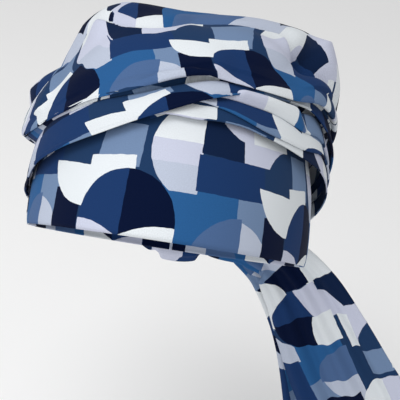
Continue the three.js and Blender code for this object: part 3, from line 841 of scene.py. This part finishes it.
# %% Pleats of the right wrap
# Shares are of the wrap's width. A pleat's edge laps over the cloth below it, and its face sinks back from
# the edge's full height to a share of it.
PLEAT_LAP = 1.6
UNDER_EDGE = 0.6
FACE_START = 0.5
FACE_ROWS = 11
EDGE_LAPS = np.array([1.0, 0.25, -0.12, -0.1, 0.15])
EDGE_HEIGHTS = np.array([0.0, 0.1, 0.35, 0.75, 1.0])
MIDDLE_SINKS_TO = 0.15
TOP_SINKS_TO = 0.3
TOP_ROLL = 4.2
TOP_ROLL_TURNS = (18, 26, 50, 58)
TOP_ROLL_ARC = (0.1, 0.78)
low = read(RIGHT_WRAP, "low", wrap_turn)
high = read(RIGHT_WRAP, "high", wrap_turn)
first_pleat = read(RIGHT_WRAP, "first", wrap_turn)
second_pleat = read(RIGHT_WRAP, "second", wrap_turn)
stand = pleat_height(wrap_turn)
lap = PLEAT_LAP / ((high - low) * MM_PER_DEGREE)


def even_rows(start, end, count):
    """Even rows from start to end: start + (end - start) * share."""
    return start + (end - start) * np.linspace(0, 1, count)


base = even_rows(0, first_pleat + UNDER_EDGE * lap, 9)
first_edge = first_pleat + EDGE_LAPS * lap
middle_face = even_rows(first_pleat + FACE_START * lap, second_pleat + UNDER_EDGE * lap, FACE_ROWS)
second_edge = second_pleat + EDGE_LAPS * lap
top_face = even_rows(second_pleat + FACE_START * lap, 1, FACE_ROWS)
edge_height = stand * EDGE_HEIGHTS
middle_height = stand * even_rows(1, MIDDLE_SINKS_TO, FACE_ROWS)
top_height = stand * even_rows(1, TOP_SINKS_TO, FACE_ROWS)
round_over = np.sin(np.pi * np.linspace(*TOP_ROLL_ARC, FACE_ROWS))
top_height = top_height + TOP_ROLL * window(wrap_turn, *TOP_ROLL_TURNS) * round_over
share = np.concatenate([base, first_edge, middle_face, second_edge, top_face], 1)
lift = np.concatenate([0 * base, edge_height, middle_height, edge_height, top_height], 1)
print("rows across the right wrap", share.shape[1])

# %% Right wrap
RIGHT_PRESSED_OUT = 1.1
RIGHT_WALL = 0.6
RIGHT_WAVES = {"seed": 31, "sizes": [70, 26], "heights": [0.3, 0.14]}
RIGHT_WAVE_RISE = 2.4
PULL_LIMIT = 0.4
FIRST_PLEAT_ROW = 11
UNDER_PLEAT_ROWS = 3
UNDER_PLEAT_PRINT = (-1.0, -23.0)
TOP_ROLL_ROW = 25
TOP_ROLL_ROWS = 2
TOP_ROLL_PRINT_ENDS = (57.5, 56)
rise = low + (high - low) * share
pull = waves(wrap_turn * WRAP_WAVE_TURN, rise * RIGHT_WAVE_RISE, **RIGHT_WAVES) * ease(0.0, 0.12, share)
face = UNDER_WRAP_OUT + CLOTH + loose_at(wrap_turn, rise)
face = pressed_face(face, RIGHT_PRESSED_OUT, wrap_turn, rise)
face = face + lift + np.minimum(pull, PULL_LIMIT)
right_points = on_head(wrap_turn, rise, face)
right_flat = strip_flat(right_points)
right_up = np.stack([right_flat[..., 0], (rise - low) * MM_PER_DEGREE], -1)
right_print = strip_print(right_up, wrap_turn, low, RIGHT_MARKS, RIGHT_ENDS)
row = np.arange(right_points.shape[1])
under_pleat = np.clip((FIRST_PLEAT_ROW - row) / UNDER_PLEAT_ROWS, 0, 1)[None, :, None]
right_print = right_print + (right_up + UNDER_PLEAT_PRINT - right_print) * under_pleat
roll_print = strip_print(right_up, wrap_turn, low, TOP_ROLL_MARKS, RIGHT_ENDS)
on_roll = np.clip((row - TOP_ROLL_ROW) / TOP_ROLL_ROWS, 0, 1) * ease(*TOP_ROLL_PRINT_ENDS, wrap_turn)
right_print = right_print + (roll_print - right_print) * on_roll[..., None]
right_wrap = wall(cloth_piece("right_wrap_cloth", right_points, right_flat, right_print), RIGHT_WALL)
right_area = cloth_area(right_points)
print("right wrap area, m2", round(right_area, 4))

# %% [markdown]
# The knot holds the two wraps together at the nape. It is a padded lump of cloth, so its form is a rounded
# solid with the folds drawn round it. A second turn of cloth crosses over its middle and stands a little
# proud of it, with a waist on both sides.

# %% Knot
# Sizes are in millimetres. Along the knot and round it are angles in degrees, and the cross turn's edge and
# waist are angles along it from the cross turn's middle.
KNOT_WIDTH = 46.0
KNOT_HEIGHT = 34.0
KNOT_DEPTH = 28.0
KNOT_RISE = 5.0
KNOT_GAP = 0.4
KNOT_FOLD_DEPTH = 0.1
KNOT_FOLDS = 6
KNOT_FOLD_SWAY = 14
KNOT_FOLD_SWAYS = 3
KNOT_SQUARENESS = 0.5
CROSS_LEAN = 12
CROSS_EDGE = (38, 28)
CROSS_BACK = (-0.5, 0.3)
CROSS_PROUD = 0.1
WAIST_DEPTH = 0.1
WAIST_PLACE = 40
WAIST_WIDTH = 7
knot_out = lip_out(178.0) - GAP + loose_at(180.0, KNOT_RISE) + KNOT_GAP + KNOT_DEPTH / 2
knot_centre = on_head(180.0, KNOT_RISE, knot_out)
around = np.linspace(-180, 180, 160, endpoint=False)[:, None]
along = np.linspace(-90, 90, 91)[None, :]
level = np.cos(np.radians(along)) ** KNOT_SQUARENESS
from_cross = np.abs(along + CROSS_LEAN * np.sin(np.radians(around)))
crossed = ease(*CROSS_EDGE, from_cross) * ease(*CROSS_BACK, np.cos(np.radians(around)))
sway = KNOT_FOLD_SWAY * np.sin(np.radians(KNOT_FOLD_SWAYS * along))
fold_angle = np.radians(KNOT_FOLDS * around + sway)
folds = 1 - KNOT_FOLD_DEPTH * (1 - np.cos(fold_angle)) * level * (1 - crossed)
waist = 1 + CROSS_PROUD * crossed - WAIST_DEPTH * np.exp(-(((from_cross - WAIST_PLACE) / WAIST_WIDTH) ** 2))
knot_points = (
    knot_centre
    + (KNOT_WIDTH / 2 * np.sin(np.radians(along)) + 0 * around)[..., None] * ACROSS
    + (KNOT_DEPTH / 2 * level * waist * folds * np.cos(np.radians(around)))[..., None] * BACKWARD
    + (KNOT_HEIGHT / 2 * level * waist * folds * np.sin(np.radians(around)))[..., None] * UPWARD
)
KNOT_PRINT_AROUND = 0.27
KNOT_PRINT_ALONG = 0.3
knot_flat = np.stack(np.broadcast_arrays(around * KNOT_PRINT_AROUND, along * KNOT_PRINT_ALONG), -1)
knot_flat = np.concatenate([knot_flat, knot_flat[:1] + np.array([360 * KNOT_PRINT_AROUND, 0.0])])
knot = cloth_piece("knot_cloth", knot_points, knot_flat, knot_flat, ring=True)
print("knot centre, mm", knot_centre.round(1))

# %% [markdown]
# The two free ends hang from the knot at the turban's left side, as worn. Their course comes from the same
# table as their solids, and across it the cloth opens out in folds that are tight at the knot and loosen
# towards the cut end.

# %% Tie ends
# The tables hold shares: of the reach to the side, of the way forward, of the drop and of the width.
TIE_REACH = 130.0
TIE_DROP = 135.0
TIE_BACK = 36.0
TIE_WIDTH = 72.0
TIE_SPACING = 8.0
TIE_THICKNESS = 1.0
TIE_LINES = 150
TIE_POINTS = 110
FOLD_DEPTH = 3.0
FOLD_DEPTH_AT_KNOT = 0.35
MAIN_FOLDS = 5
MAIN_SHARE = 0.85
MAIN_SWAY = 0.5
MAIN_SWAY_RATE = 2.2
SMALL_SHARE = 0.3
SMALL_DRIFT = 1.3
UPPER_TIE = {
    "columns": ["along", "side", "forward", "down", "width"],
    "rows": [
        [0, 0, 0, 0, 0.3],
        [0.06, 0.07, 0.03, 0, 0.34],
        [0.14, 0.17, 0.22, -0.03, 0.42],
        [0.26, 0.31, 0.5, -0.04, 0.54],
        [0.42, 0.46, 0.68, 0.08, 0.68],
        [0.58, 0.6, 0.72, 0.29, 0.82],
        [0.74, 0.73, 0.74, 0.5, 0.93],
        [0.87, 0.86, 0.75, 0.7, 1],
        [1, 1, 0.76, 0.96, 1],
    ],
}
UNDER_TIE = {
    "columns": ["along", "side", "forward", "down", "width"],
    "rows": [
        [0, 0, 0, 0, 0.26],
        [0.06, 0.07, 0.02, 0, 0.3],
        [0.14, 0.17, 0.14, 0.02, 0.38],
        [0.28, 0.33, 0.38, 0.1, 0.46],
        [0.44, 0.47, 0.5, 0.27, 0.54],
        [0.6, 0.58, 0.55, 0.47, 0.62],
        [0.8, 0.68, 0.57, 0.75, 0.68],
        [1, 0.77, 0.58, 1.06, 0.72],
    ],
}


def tie_end(course, behind, phase, folds):
    """Course point + sideways * width * share + facing * (depth * sum of two cosines across, whose phase
    drifts along), with the depth growing from the knot."""
    s = np.linspace(0, 1, TIE_LINES)
    step = 0.01
    start = knot_centre + ACROSS * (KNOT_WIDTH / 2 + KNOT_GAP)

    def place(at):
        """The knot's side + reach * side, - back * forward and - drop * down, by the course's table."""
        return np.stack([
            start[0] + TIE_REACH * read(course, "side", at),
            start[1] - TIE_BACK * read(course, "forward", at) + behind,
            start[2] - TIE_DROP * read(course, "down", at),
        ], -1)

    ahead = place(np.minimum(s + step, 1)) - place(np.maximum(s - step, 0))
    ahead = ahead / np.linalg.norm(ahead, axis=-1, keepdims=True)
    facing = np.array([0.0, -1.0, 0.0]) - ahead * -ahead[:, 1:2]
    facing = facing / np.linalg.norm(facing, axis=-1, keepdims=True)
    sideways = np.cross(ahead, facing)
    width = TIE_WIDTH * read(course, "width", s)[:, None]
    share = np.linspace(-0.5, 0.5, TIE_POINTS)[None, :]
    along = s[:, None]
    depth = FOLD_DEPTH * (FOLD_DEPTH_AT_KNOT + (1 - FOLD_DEPTH_AT_KNOT) * along)
    main = np.cos(MAIN_FOLDS * np.pi * share + MAIN_SWAY * np.sin(MAIN_SWAY_RATE * along + phase))
    small = np.cos(folds * np.pi * share + SMALL_DRIFT * along + phase)
    ripple = depth * (MAIN_SHARE * main + SMALL_SHARE * small)
    across = sideways[:, None] * (width * share)[..., None]
    return place(s)[:, None] + across + facing[:, None] * ripple[..., None]


upper_points = tie_end(UPPER_TIE, behind=-TIE_SPACING / 2, phase=0.4, folds=13)
under_points = tie_end(UNDER_TIE, behind=TIE_SPACING / 2, phase=2.1, folds=11)


def tie_flat(points):
    """Along: the run of the middle line from the knot. Across: the run from one edge, less half of it."""
    middle = TIE_POINTS // 2
    along = run_lengths(points[:, middle : middle + 1], 0)
    across = run_lengths(points, 1)
    return np.stack(np.broadcast_arrays(along, across - across[:, -1:] / 2), -1)


upper_flat = tie_flat(upper_points)
under_flat = tie_flat(under_points)
upper_tie = cloth_piece("tie_end_upper_cloth", upper_points, upper_flat, upper_flat)
under_tie = cloth_piece("tie_end_under_cloth", under_points, under_flat, under_flat)
for piece in (upper_tie, under_tie):
    wall(piece, TIE_THICKNESS, offset=0.0)
upper_area = cloth_area(upper_points)
under_area = cloth_area(under_points)
print("tie ends area, m2", round(upper_area, 4), round(under_area, 4))

# %% [markdown]
# The print is a geometric one of boxes and discs that cut each other, in blues, lilac and white. It could be
# painted as a picture, but shapes that are worked out stay sharp at any distance. Each shape is a box that is
# cut by a disc. One small node group works out a single such shape and its repeats, half a repeat further
# along in each next row, and the print lays its shapes over each other in order.

# %% Small helpers for shader nodes
REPEAT_WIDE = 106.5
REPEAT_HIGH = 72.0


def linear(red, green, blue):
    """Screen values of 0 to 255 made linear: the 2.4 power of (value + 0.055) / 1.055."""
    screen = np.array([red, green, blue]) / 255
    light = np.where(screen > 0.04045, ((screen + 0.055) / 1.055) ** 2.4, screen / 12.92)
    return (*[float(v) for v in light], 1.0)


def add_node(tree, kind, operation=None, **values):
    """A node whose inputs, named by their number as in_0, get a value, or a link from another socket."""
    made = tree.nodes.new(kind)
    if operation:
        made.operation = operation
    for name, value in values.items():
        if name.startswith("in_"):
            socket = made.inputs[int(name[3:])]
            if isinstance(value, bpy.types.NodeSocket):
                tree.links.new(value, socket)
            else:
                socket.default_value = value
        else:
            setattr(made, name, value)
    return made


def new_group(name, inputs, outputs):
    """A shader node group with the given sockets, and its input and output nodes."""
    tree = bpy.data.node_groups.new(name, "ShaderNodeTree")
    for label, kind in inputs:
        tree.interface.new_socket(name=label, in_out="INPUT", socket_type=kind)
    for label, kind in outputs:
        tree.interface.new_socket(name=label, in_out="OUTPUT", socket_type=kind)
    return tree, tree.nodes.new("NodeGroupInput"), tree.nodes.new("NodeGroupOutput")


# %% One shape of the print: a box cut by a disc
VECTOR, NUMBER, COLOUR = "NodeSocketVector", "NodeSocketFloat", "NodeSocketColor"
shape_tree, given, result = new_group(
    "Box cut by a disc",
    [("Place", VECTOR), ("Middle", VECTOR), ("Half size", VECTOR), ("Tilt", NUMBER),
     ("Disc from middle", VECTOR), ("Disc radius", NUMBER), ("Keep inside", NUMBER)],
    [("Mask", NUMBER)],
)
away = add_node(shape_tree, "ShaderNodeVectorMath", "SUBTRACT", in_0=given.outputs[0], in_1=given.outputs[1])
split = add_node(shape_tree, "ShaderNodeSeparateXYZ", in_0=away.outputs[0])
rows_up = add_node(shape_tree, "ShaderNodeMath", "DIVIDE", in_0=split.outputs[1], in_1=REPEAT_HIGH)
row = add_node(shape_tree, "ShaderNodeMath", "ROUND", in_0=rows_up.outputs[0])
row_run = add_node(shape_tree, "ShaderNodeMath", "MULTIPLY", in_0=row.outputs[0], in_1=REPEAT_WIDE / 2)
run = add_node(shape_tree, "ShaderNodeMath", "SUBTRACT", in_0=split.outputs[0], in_1=row_run.outputs[0])
in_repeat = add_node(shape_tree, "ShaderNodeMath", "WRAP", in_0=run.outputs[0], in_1=REPEAT_WIDE / 2,
                     in_2=-REPEAT_WIDE / 2)
row_top = add_node(shape_tree, "ShaderNodeMath", "MULTIPLY", in_0=row.outputs[0], in_1=REPEAT_HIGH)
in_row = add_node(shape_tree, "ShaderNodeMath", "SUBTRACT", in_0=split.outputs[1], in_1=row_top.outputs[0])
local = add_node(shape_tree, "ShaderNodeCombineXYZ", in_0=in_repeat.outputs[0], in_1=in_row.outputs[0])
turned = add_node(shape_tree, "ShaderNodeVectorRotate", rotation_type="Z_AXIS", in_0=local.outputs[0])
shape_tree.links.new(given.outputs[3], turned.inputs["Angle"])
folded = add_node(shape_tree, "ShaderNodeVectorMath", "ABSOLUTE", in_0=turned.outputs[0])
over = add_node(shape_tree, "ShaderNodeVectorMath", "SUBTRACT", in_0=folded.outputs[0], in_1=given.outputs[2])
edges = add_node(shape_tree, "ShaderNodeSeparateXYZ", in_0=over.outputs[0])
furthest = add_node(shape_tree, "ShaderNodeMath", "MAXIMUM", in_0=edges.outputs[0], in_1=edges.outputs[1])
in_box = add_node(shape_tree, "ShaderNodeMath", "LESS_THAN", in_0=furthest.outputs[0], in_1=0.0)
reach = add_node(shape_tree, "ShaderNodeVectorMath", "DISTANCE", in_0=local.outputs[0], in_1=given.outputs[4])
in_disc = add_node(shape_tree, "ShaderNodeMath", "LESS_THAN", in_0=reach.outputs["Value"],
                   in_1=given.outputs[5])
kept = add_node(shape_tree, "ShaderNodeMath", "COMPARE", in_0=in_disc.outputs[0], in_1=given.outputs[6],
                in_2=0.5)
both = add_node(shape_tree, "ShaderNodeMath", "MULTIPLY", in_0=in_box.outputs[0], in_1=kept.outputs[0])
shape_tree.links.new(both.outputs[0], result.inputs[0])
print("nodes in one shape", len(shape_tree.nodes))

# %% The print's colours and shapes
INKS = {
    "denim": linear(29, 54, 89),
    "denim_deep": linear(25, 52, 96),
    "navy": linear(3, 15, 45),
    "navy_soft": linear(13, 31, 62),
    "white": linear(215, 220, 224),
    "lilac": linear(190, 194, 212),
    "lilac_grey": linear(177, 185, 202),
    "grey_blue": linear(108, 130, 162),
    "bright_blue": linear(39, 87, 138),
    "periwinkle": linear(73, 99, 140),
}
# Millimetres on the flat cloth. Each row: ink, box from x, y to x, y, tilt in degrees, and the disc whose
# inside is kept: x, y and radius. A row without a disc keeps its whole box.
PRINT_SHAPES = [
    ("grey_blue", 33, 6, 53, 23.5, 0, None),
    ("bright_blue", -4, -10, 35, 24, 0, None),
    ("periwinkle", 12, -12, 38, 16, 0, (38, -10, 25)),
    ("lilac_grey", 38, -12, 60, 16, 0, (33, -12, 26)),
    ("grey_blue", -34, 30, -11.5, 50, 0, None),
    ("lilac_grey", -10, 22, 15, 36, 0, (16, 42, 24)),
    ("lilac", -10, 34.5, 15.5, 45, 0, (16, 42, 24)),
    ("white", -10, 45, 17.5, 66, 0, (16, 42, 24)),
    ("navy_soft", 15.5, 40, 40.5, 61, -3, None),
    ("white", 42, 49, 70, 57, -2, None),
    ("lilac", 37, 40, 68, 50, 0, None),
    ("lilac", 22, 49, 43, 62, 0, (43, 72, 23)),
    ("denim_deep", 14, 23.5, 50, 40, 0, None),
    ("denim", 48, 26, 74, 50, 0, (73, 28, 23)),
    ("navy", 51.5, -8, 69, 18, 0, None),
    ("white", -60, 8, -34.5, 29.5, -3, (-36, 35, 24.2)),
    ("white", -35, 10, -12.5, 34.5, 5, None),
    ("denim_deep", -37, 0, -15.6, 30, 0, (-14.5, 7, 22)),
    ("navy", -15.6, 0, 8, 30, 0, (-14.5, 7, 22)),
    ("lilac", -37, -10, -15.6, 6, 0, (-36, -30, 35.5)),
    ("white", -15.6, -12, 7.5, 6.5, 0, (5, -34, 40.2)),
]

print_tree, given, result = new_group("Printed shapes", [("Place", VECTOR)], [("Colour", COLOUR)])
ink = INKS["denim"]
for name, x0, y0, x1, y1, tilt, disc in PRINT_SHAPES:
    middle = np.array([(x0 + x1) / 2, (y0 + y1) / 2, 0.0])
    shape = print_tree.nodes.new("ShaderNodeGroup")
    shape.node_tree = shape_tree
    shape.inputs["Middle"].default_value = middle
    shape.inputs["Half size"].default_value = ((x1 - x0) / 2, (y1 - y0) / 2, 1.0)
    shape.inputs["Tilt"].default_value = float(np.radians(-tilt))
    if disc:
        shape.inputs["Disc from middle"].default_value = (disc[0] - middle[0], disc[1] - middle[1], 0.0)
        shape.inputs["Disc radius"].default_value = disc[2]
        shape.inputs["Keep inside"].default_value = 1.0
    print_tree.links.new(given.outputs[0], shape.inputs["Place"])
    layer = add_node(print_tree, "ShaderNodeMix", data_type="RGBA")
    print_tree.links.new(shape.outputs[0], layer.inputs[0])
    if isinstance(ink, tuple):
        layer.inputs[6].default_value = ink
    else:
        print_tree.links.new(ink, layer.inputs[6])
    layer.inputs[7].default_value = INKS[name]
    ink = layer.outputs[2]
print_tree.links.new(ink, result.inputs[0])
print("shapes in the print", len(PRINT_SHAPES))

# %% [markdown]
# The cloth itself is a fine plain weave, matt and a little heathered. Threads could be modelled, but at two
# or three to the millimetre they show only as grain, so they are a bump with a colour flecking from noise.

# %% Weave
weave_tree, given, result = new_group(
    "Plain weave",
    [("Place", VECTOR), ("Colour", COLOUR), ("Threads per mm", NUMBER)],
    [("Colour", COLOUR), ("Height", NUMBER), ("Roughness", NUMBER)],
)
scaled = add_node(weave_tree, "ShaderNodeVectorMath", "SCALE", in_0=given.outputs[0])
weave_tree.links.new(given.outputs[2], scaled.inputs["Scale"])
threads = add_node(weave_tree, "ShaderNodeSeparateXYZ", in_0=scaled.outputs[0])
warp_angle = add_node(weave_tree, "ShaderNodeMath", "MULTIPLY", in_0=threads.outputs[0], in_1=2 * np.pi)
weft_angle = add_node(weave_tree, "ShaderNodeMath", "MULTIPLY", in_0=threads.outputs[1], in_1=2 * np.pi)
warp = add_node(weave_tree, "ShaderNodeMath", "SINE", in_0=warp_angle.outputs[0])
weft = add_node(weave_tree, "ShaderNodeMath", "SINE", in_0=weft_angle.outputs[0])
crossing = add_node(weave_tree, "ShaderNodeMath", "MULTIPLY", in_0=warp.outputs[0], in_1=weft.outputs[0])
slub = add_node(weave_tree, "ShaderNodeTexNoise", in_0=given.outputs[0])
slub.inputs["Scale"].default_value = 0.9
slub.inputs["Detail"].default_value = 3.0
fleck = add_node(weave_tree, "ShaderNodeTexNoise", in_0=given.outputs[0])
fleck.inputs["Scale"].default_value = 2.6
fleck.inputs["Detail"].default_value = 2.0
height = add_node(weave_tree, "ShaderNodeMath", "MULTIPLY_ADD", in_0=crossing.outputs[0], in_1=0.5,
                  in_2=slub.outputs[0])
shade = add_node(weave_tree, "ShaderNodeMapRange", in_0=fleck.outputs[0])
shade.inputs["From Min"].default_value = 0.3
shade.inputs["From Max"].default_value = 0.7
shade.inputs["To Min"].default_value = 0.86
shade.inputs["To Max"].default_value = 1.12
flecked = add_node(weave_tree, "ShaderNodeVectorMath", "SCALE", in_0=given.outputs[1])
weave_tree.links.new(shade.outputs[0], flecked.inputs["Scale"])
dry = add_node(weave_tree, "ShaderNodeMapRange", in_0=slub.outputs[0])
dry.inputs["To Min"].default_value = 0.76
dry.inputs["To Max"].default_value = 0.94
weave_tree.links.new(flecked.outputs[0], result.inputs[0])
weave_tree.links.new(height.outputs[0], result.inputs[1])
weave_tree.links.new(dry.outputs[0], result.inputs[2])

# %% Printed cotton
cotton = bpy.data.materials.new("printed_cotton")
cotton.use_nodes = True
PRINT_DRIFT = (0.9, 0.9, 0.0)
THREADS_PER_MM = 1.6
tree = cotton.node_tree
shader = tree.nodes["Principled BSDF"]
shader.inputs["Sheen Weight"].default_value = 0.02
shader.inputs["Sheen Roughness"].default_value = 0.5
shader.inputs["Specular IOR Level"].default_value = 0.05
flat_place = add_node(tree, "ShaderNodeUVMap", uv_map="flat_cloth")
print_place = add_node(tree, "ShaderNodeUVMap", uv_map="print_place")
drift = add_node(tree, "ShaderNodeTexNoise", in_0=print_place.outputs[0])
drift.inputs["Scale"].default_value = 0.22
drift.inputs["Detail"].default_value = 2.0
unsteady = add_node(tree, "ShaderNodeVectorMath", "MULTIPLY_ADD", in_0=drift.outputs["Color"],
                    in_1=PRINT_DRIFT, in_2=print_place.outputs[0])
printed = tree.nodes.new("ShaderNodeGroup")
printed.node_tree = print_tree
tree.links.new(unsteady.outputs[0], printed.inputs[0])
woven = tree.nodes.new("ShaderNodeGroup")
woven.node_tree = weave_tree
woven.inputs["Threads per mm"].default_value = THREADS_PER_MM
tree.links.new(flat_place.outputs[0], woven.inputs["Place"])
tree.links.new(printed.outputs[0], woven.inputs["Colour"])
tree.links.new(woven.outputs[0], shader.inputs["Base Color"])
tree.links.new(woven.outputs[2], shader.inputs["Roughness"])
bump = tree.nodes.new("ShaderNodeBump")
bump.inputs["Strength"].default_value = 0.25
bump.inputs["Distance"].default_value = 0.0002
tree.links.new(woven.outputs[1], bump.inputs["Height"])
tree.links.new(bump.outputs[0], shader.inputs["Normal"])
for piece in (brow_band, crown, left_wrap, right_wrap, knot, upper_tie, under_tie):
    piece.data.materials.append(cotton)
print("nodes in the cotton", len(tree.nodes))

# %% [markdown]
# Each piece of cloth now takes its solid's place and rides on the one body. A strip's size could be typed,
# but it is measured along and across its own cloth, folds and all. The crown is cut as a rounded panel: its
# size is measured over the top, from side to side and from front to back.

# %% Take the solids' places
def strip_size(points):
    """The greatest length across the strip and its mean length along, in metres."""
    across = run_lengths(points, 1)[:, -1].max() / 1000
    along = run_lengths(points, 0)[-1].mean() / 1000
    return float(across), float(along)


def over_the_top(turn):
    """The crown's length from its hidden edge up to the middle, at the line nearest to a turn, in metres."""
    lengths = run_lengths(crown_points, 1)[:, -1] / 1000
    return float(lengths[np.abs(crown_turn[:, 0] - turn).argmin()])


crown_size = (over_the_top(-90) + over_the_top(90), over_the_top(0) + over_the_top(-180))
declared = [
    (brow_band, "brow_band", band_size, band_area, "stretched", ()),
    (crown, "crown", crown_size, crown_area, "gathered", (brow_band,)),
    (left_wrap, "left_wrap", strip_size(left_points), left_area, "draped", (brow_band,)),
    (right_wrap, "right_wrap", strip_size(right_points), right_area, "folded", (brow_band,)),
    (upper_tie, "tie_end_upper", strip_size(upper_points), upper_area, "hung", (knot,)),
    (under_tie, "tie_end_under", strip_size(under_points), under_area, "hung", (knot,)),
]
for piece, node, flat, area, held, rests_on in declared:
    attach(piece, "root")
    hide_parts(node)
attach(knot, "root")
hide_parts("knot")

# %% [markdown]
# The light is plain and soft, as in a small studio: a large panel overhead, a weaker one from the front and a
# bright room. A hard sun would draw sharp shadows that the photograph doesn't have.

# %% Floor and light
low_corner, high_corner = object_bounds()
floor_mesh = bpy.data.meshes.new("floor")
FLOOR_REACH = 3.0
FLOOR_BELOW = 0.03
floor_height = low_corner[2] - FLOOR_BELOW
floor_mesh.from_pydata(
    [(-FLOOR_REACH, -FLOOR_REACH, floor_height), (FLOOR_REACH, -FLOOR_REACH, floor_height),
     (FLOOR_REACH, FLOOR_REACH, floor_height), (-FLOOR_REACH, FLOOR_REACH, floor_height)],
    [],
    [(0, 1, 2, 3)],
)
floor = bpy.data.objects.new("floor", floor_mesh)
bpy.context.scene.collection.objects.link(floor)
pale = bpy.data.materials.new("pale_floor")
pale.use_nodes = True
pale.node_tree.nodes["Principled BSDF"].inputs["Base Color"].default_value = (0.97, 0.97, 0.97, 1)
pale.node_tree.nodes["Principled BSDF"].inputs["Roughness"].default_value = 0.9
floor_mesh.materials.append(pale)
floor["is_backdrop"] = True

world = bpy.data.worlds.new("soft_room")
world.use_nodes = True
world.node_tree.nodes["Background"].inputs["Color"].default_value = (1.0, 1.0, 1.0, 1)
world.node_tree.nodes["Background"].inputs["Strength"].default_value = 0.62
bpy.context.scene.world = world
bpy.context.scene.view_settings.view_transform = "Standard"


def panel(name, place, towards, size, power):
    """A square light of the given size in metres that faces a point."""
    light = bpy.data.lights.new(name, "AREA")
    light.size = size
    light.energy = power
    made = bpy.data.objects.new(name, light)
    bpy.context.scene.collection.objects.link(made)
    made.location = place
    made.rotation_euler = (Vector(towards) - Vector(place)).to_track_quat("-Z", "Y").to_euler()
    return made


CROWN_MIDDLE = (0.0, 0.0, 0.05)
panel("overhead", place=(-0.35, -0.45, 1.15), towards=CROWN_MIDDLE, size=0.7, power=7.5)
panel("front", place=(-0.5, -1.1, 0.45), towards=CROWN_MIDDLE, size=0.8, power=4.0)
print("floor height, mm", round(1000 * floor_height, 1))

# %% [markdown]
# The photograph looks a little down on the turban's front, from near by. A camera could be aimed at a target,
# but this one was fitted to the brow edge and leans a little, so its place and two of its own axes are given.

# %% Camera, at the photograph's angle
EYE = Vector((0.0216, -0.4139, 0.2692))
RIGHT = Vector((0.988381, 0.088578, 0.123520))
UP = Vector((-0.151244, 0.492324, 0.857171))
camera_data = bpy.data.cameras.new("camera")
camera_data.lens = 86.4
camera_data.sensor_width = 36.0
camera_data.clip_start = 0.01
camera = bpy.data.objects.new("camera", camera_data)
bpy.context.scene.collection.objects.link(camera)
turn_matrix = Matrix((RIGHT, UP, RIGHT.cross(UP))).transposed().to_4x4()
camera.matrix_world = Matrix.Translation(EYE) @ turn_matrix
bpy.context.scene.camera = camera
print("camera to the head opening, mm", round(1000 * EYE.length))

# %% Sizes, and the end
bpy.context.view_layer.update()
visual_box = [[float(value) for value in corner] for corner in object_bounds()]
visual_mm = [[round(1000 * value, 1) for value in corner] for corner in visual_box]
print("box of the dressed part, mm", visual_mm)
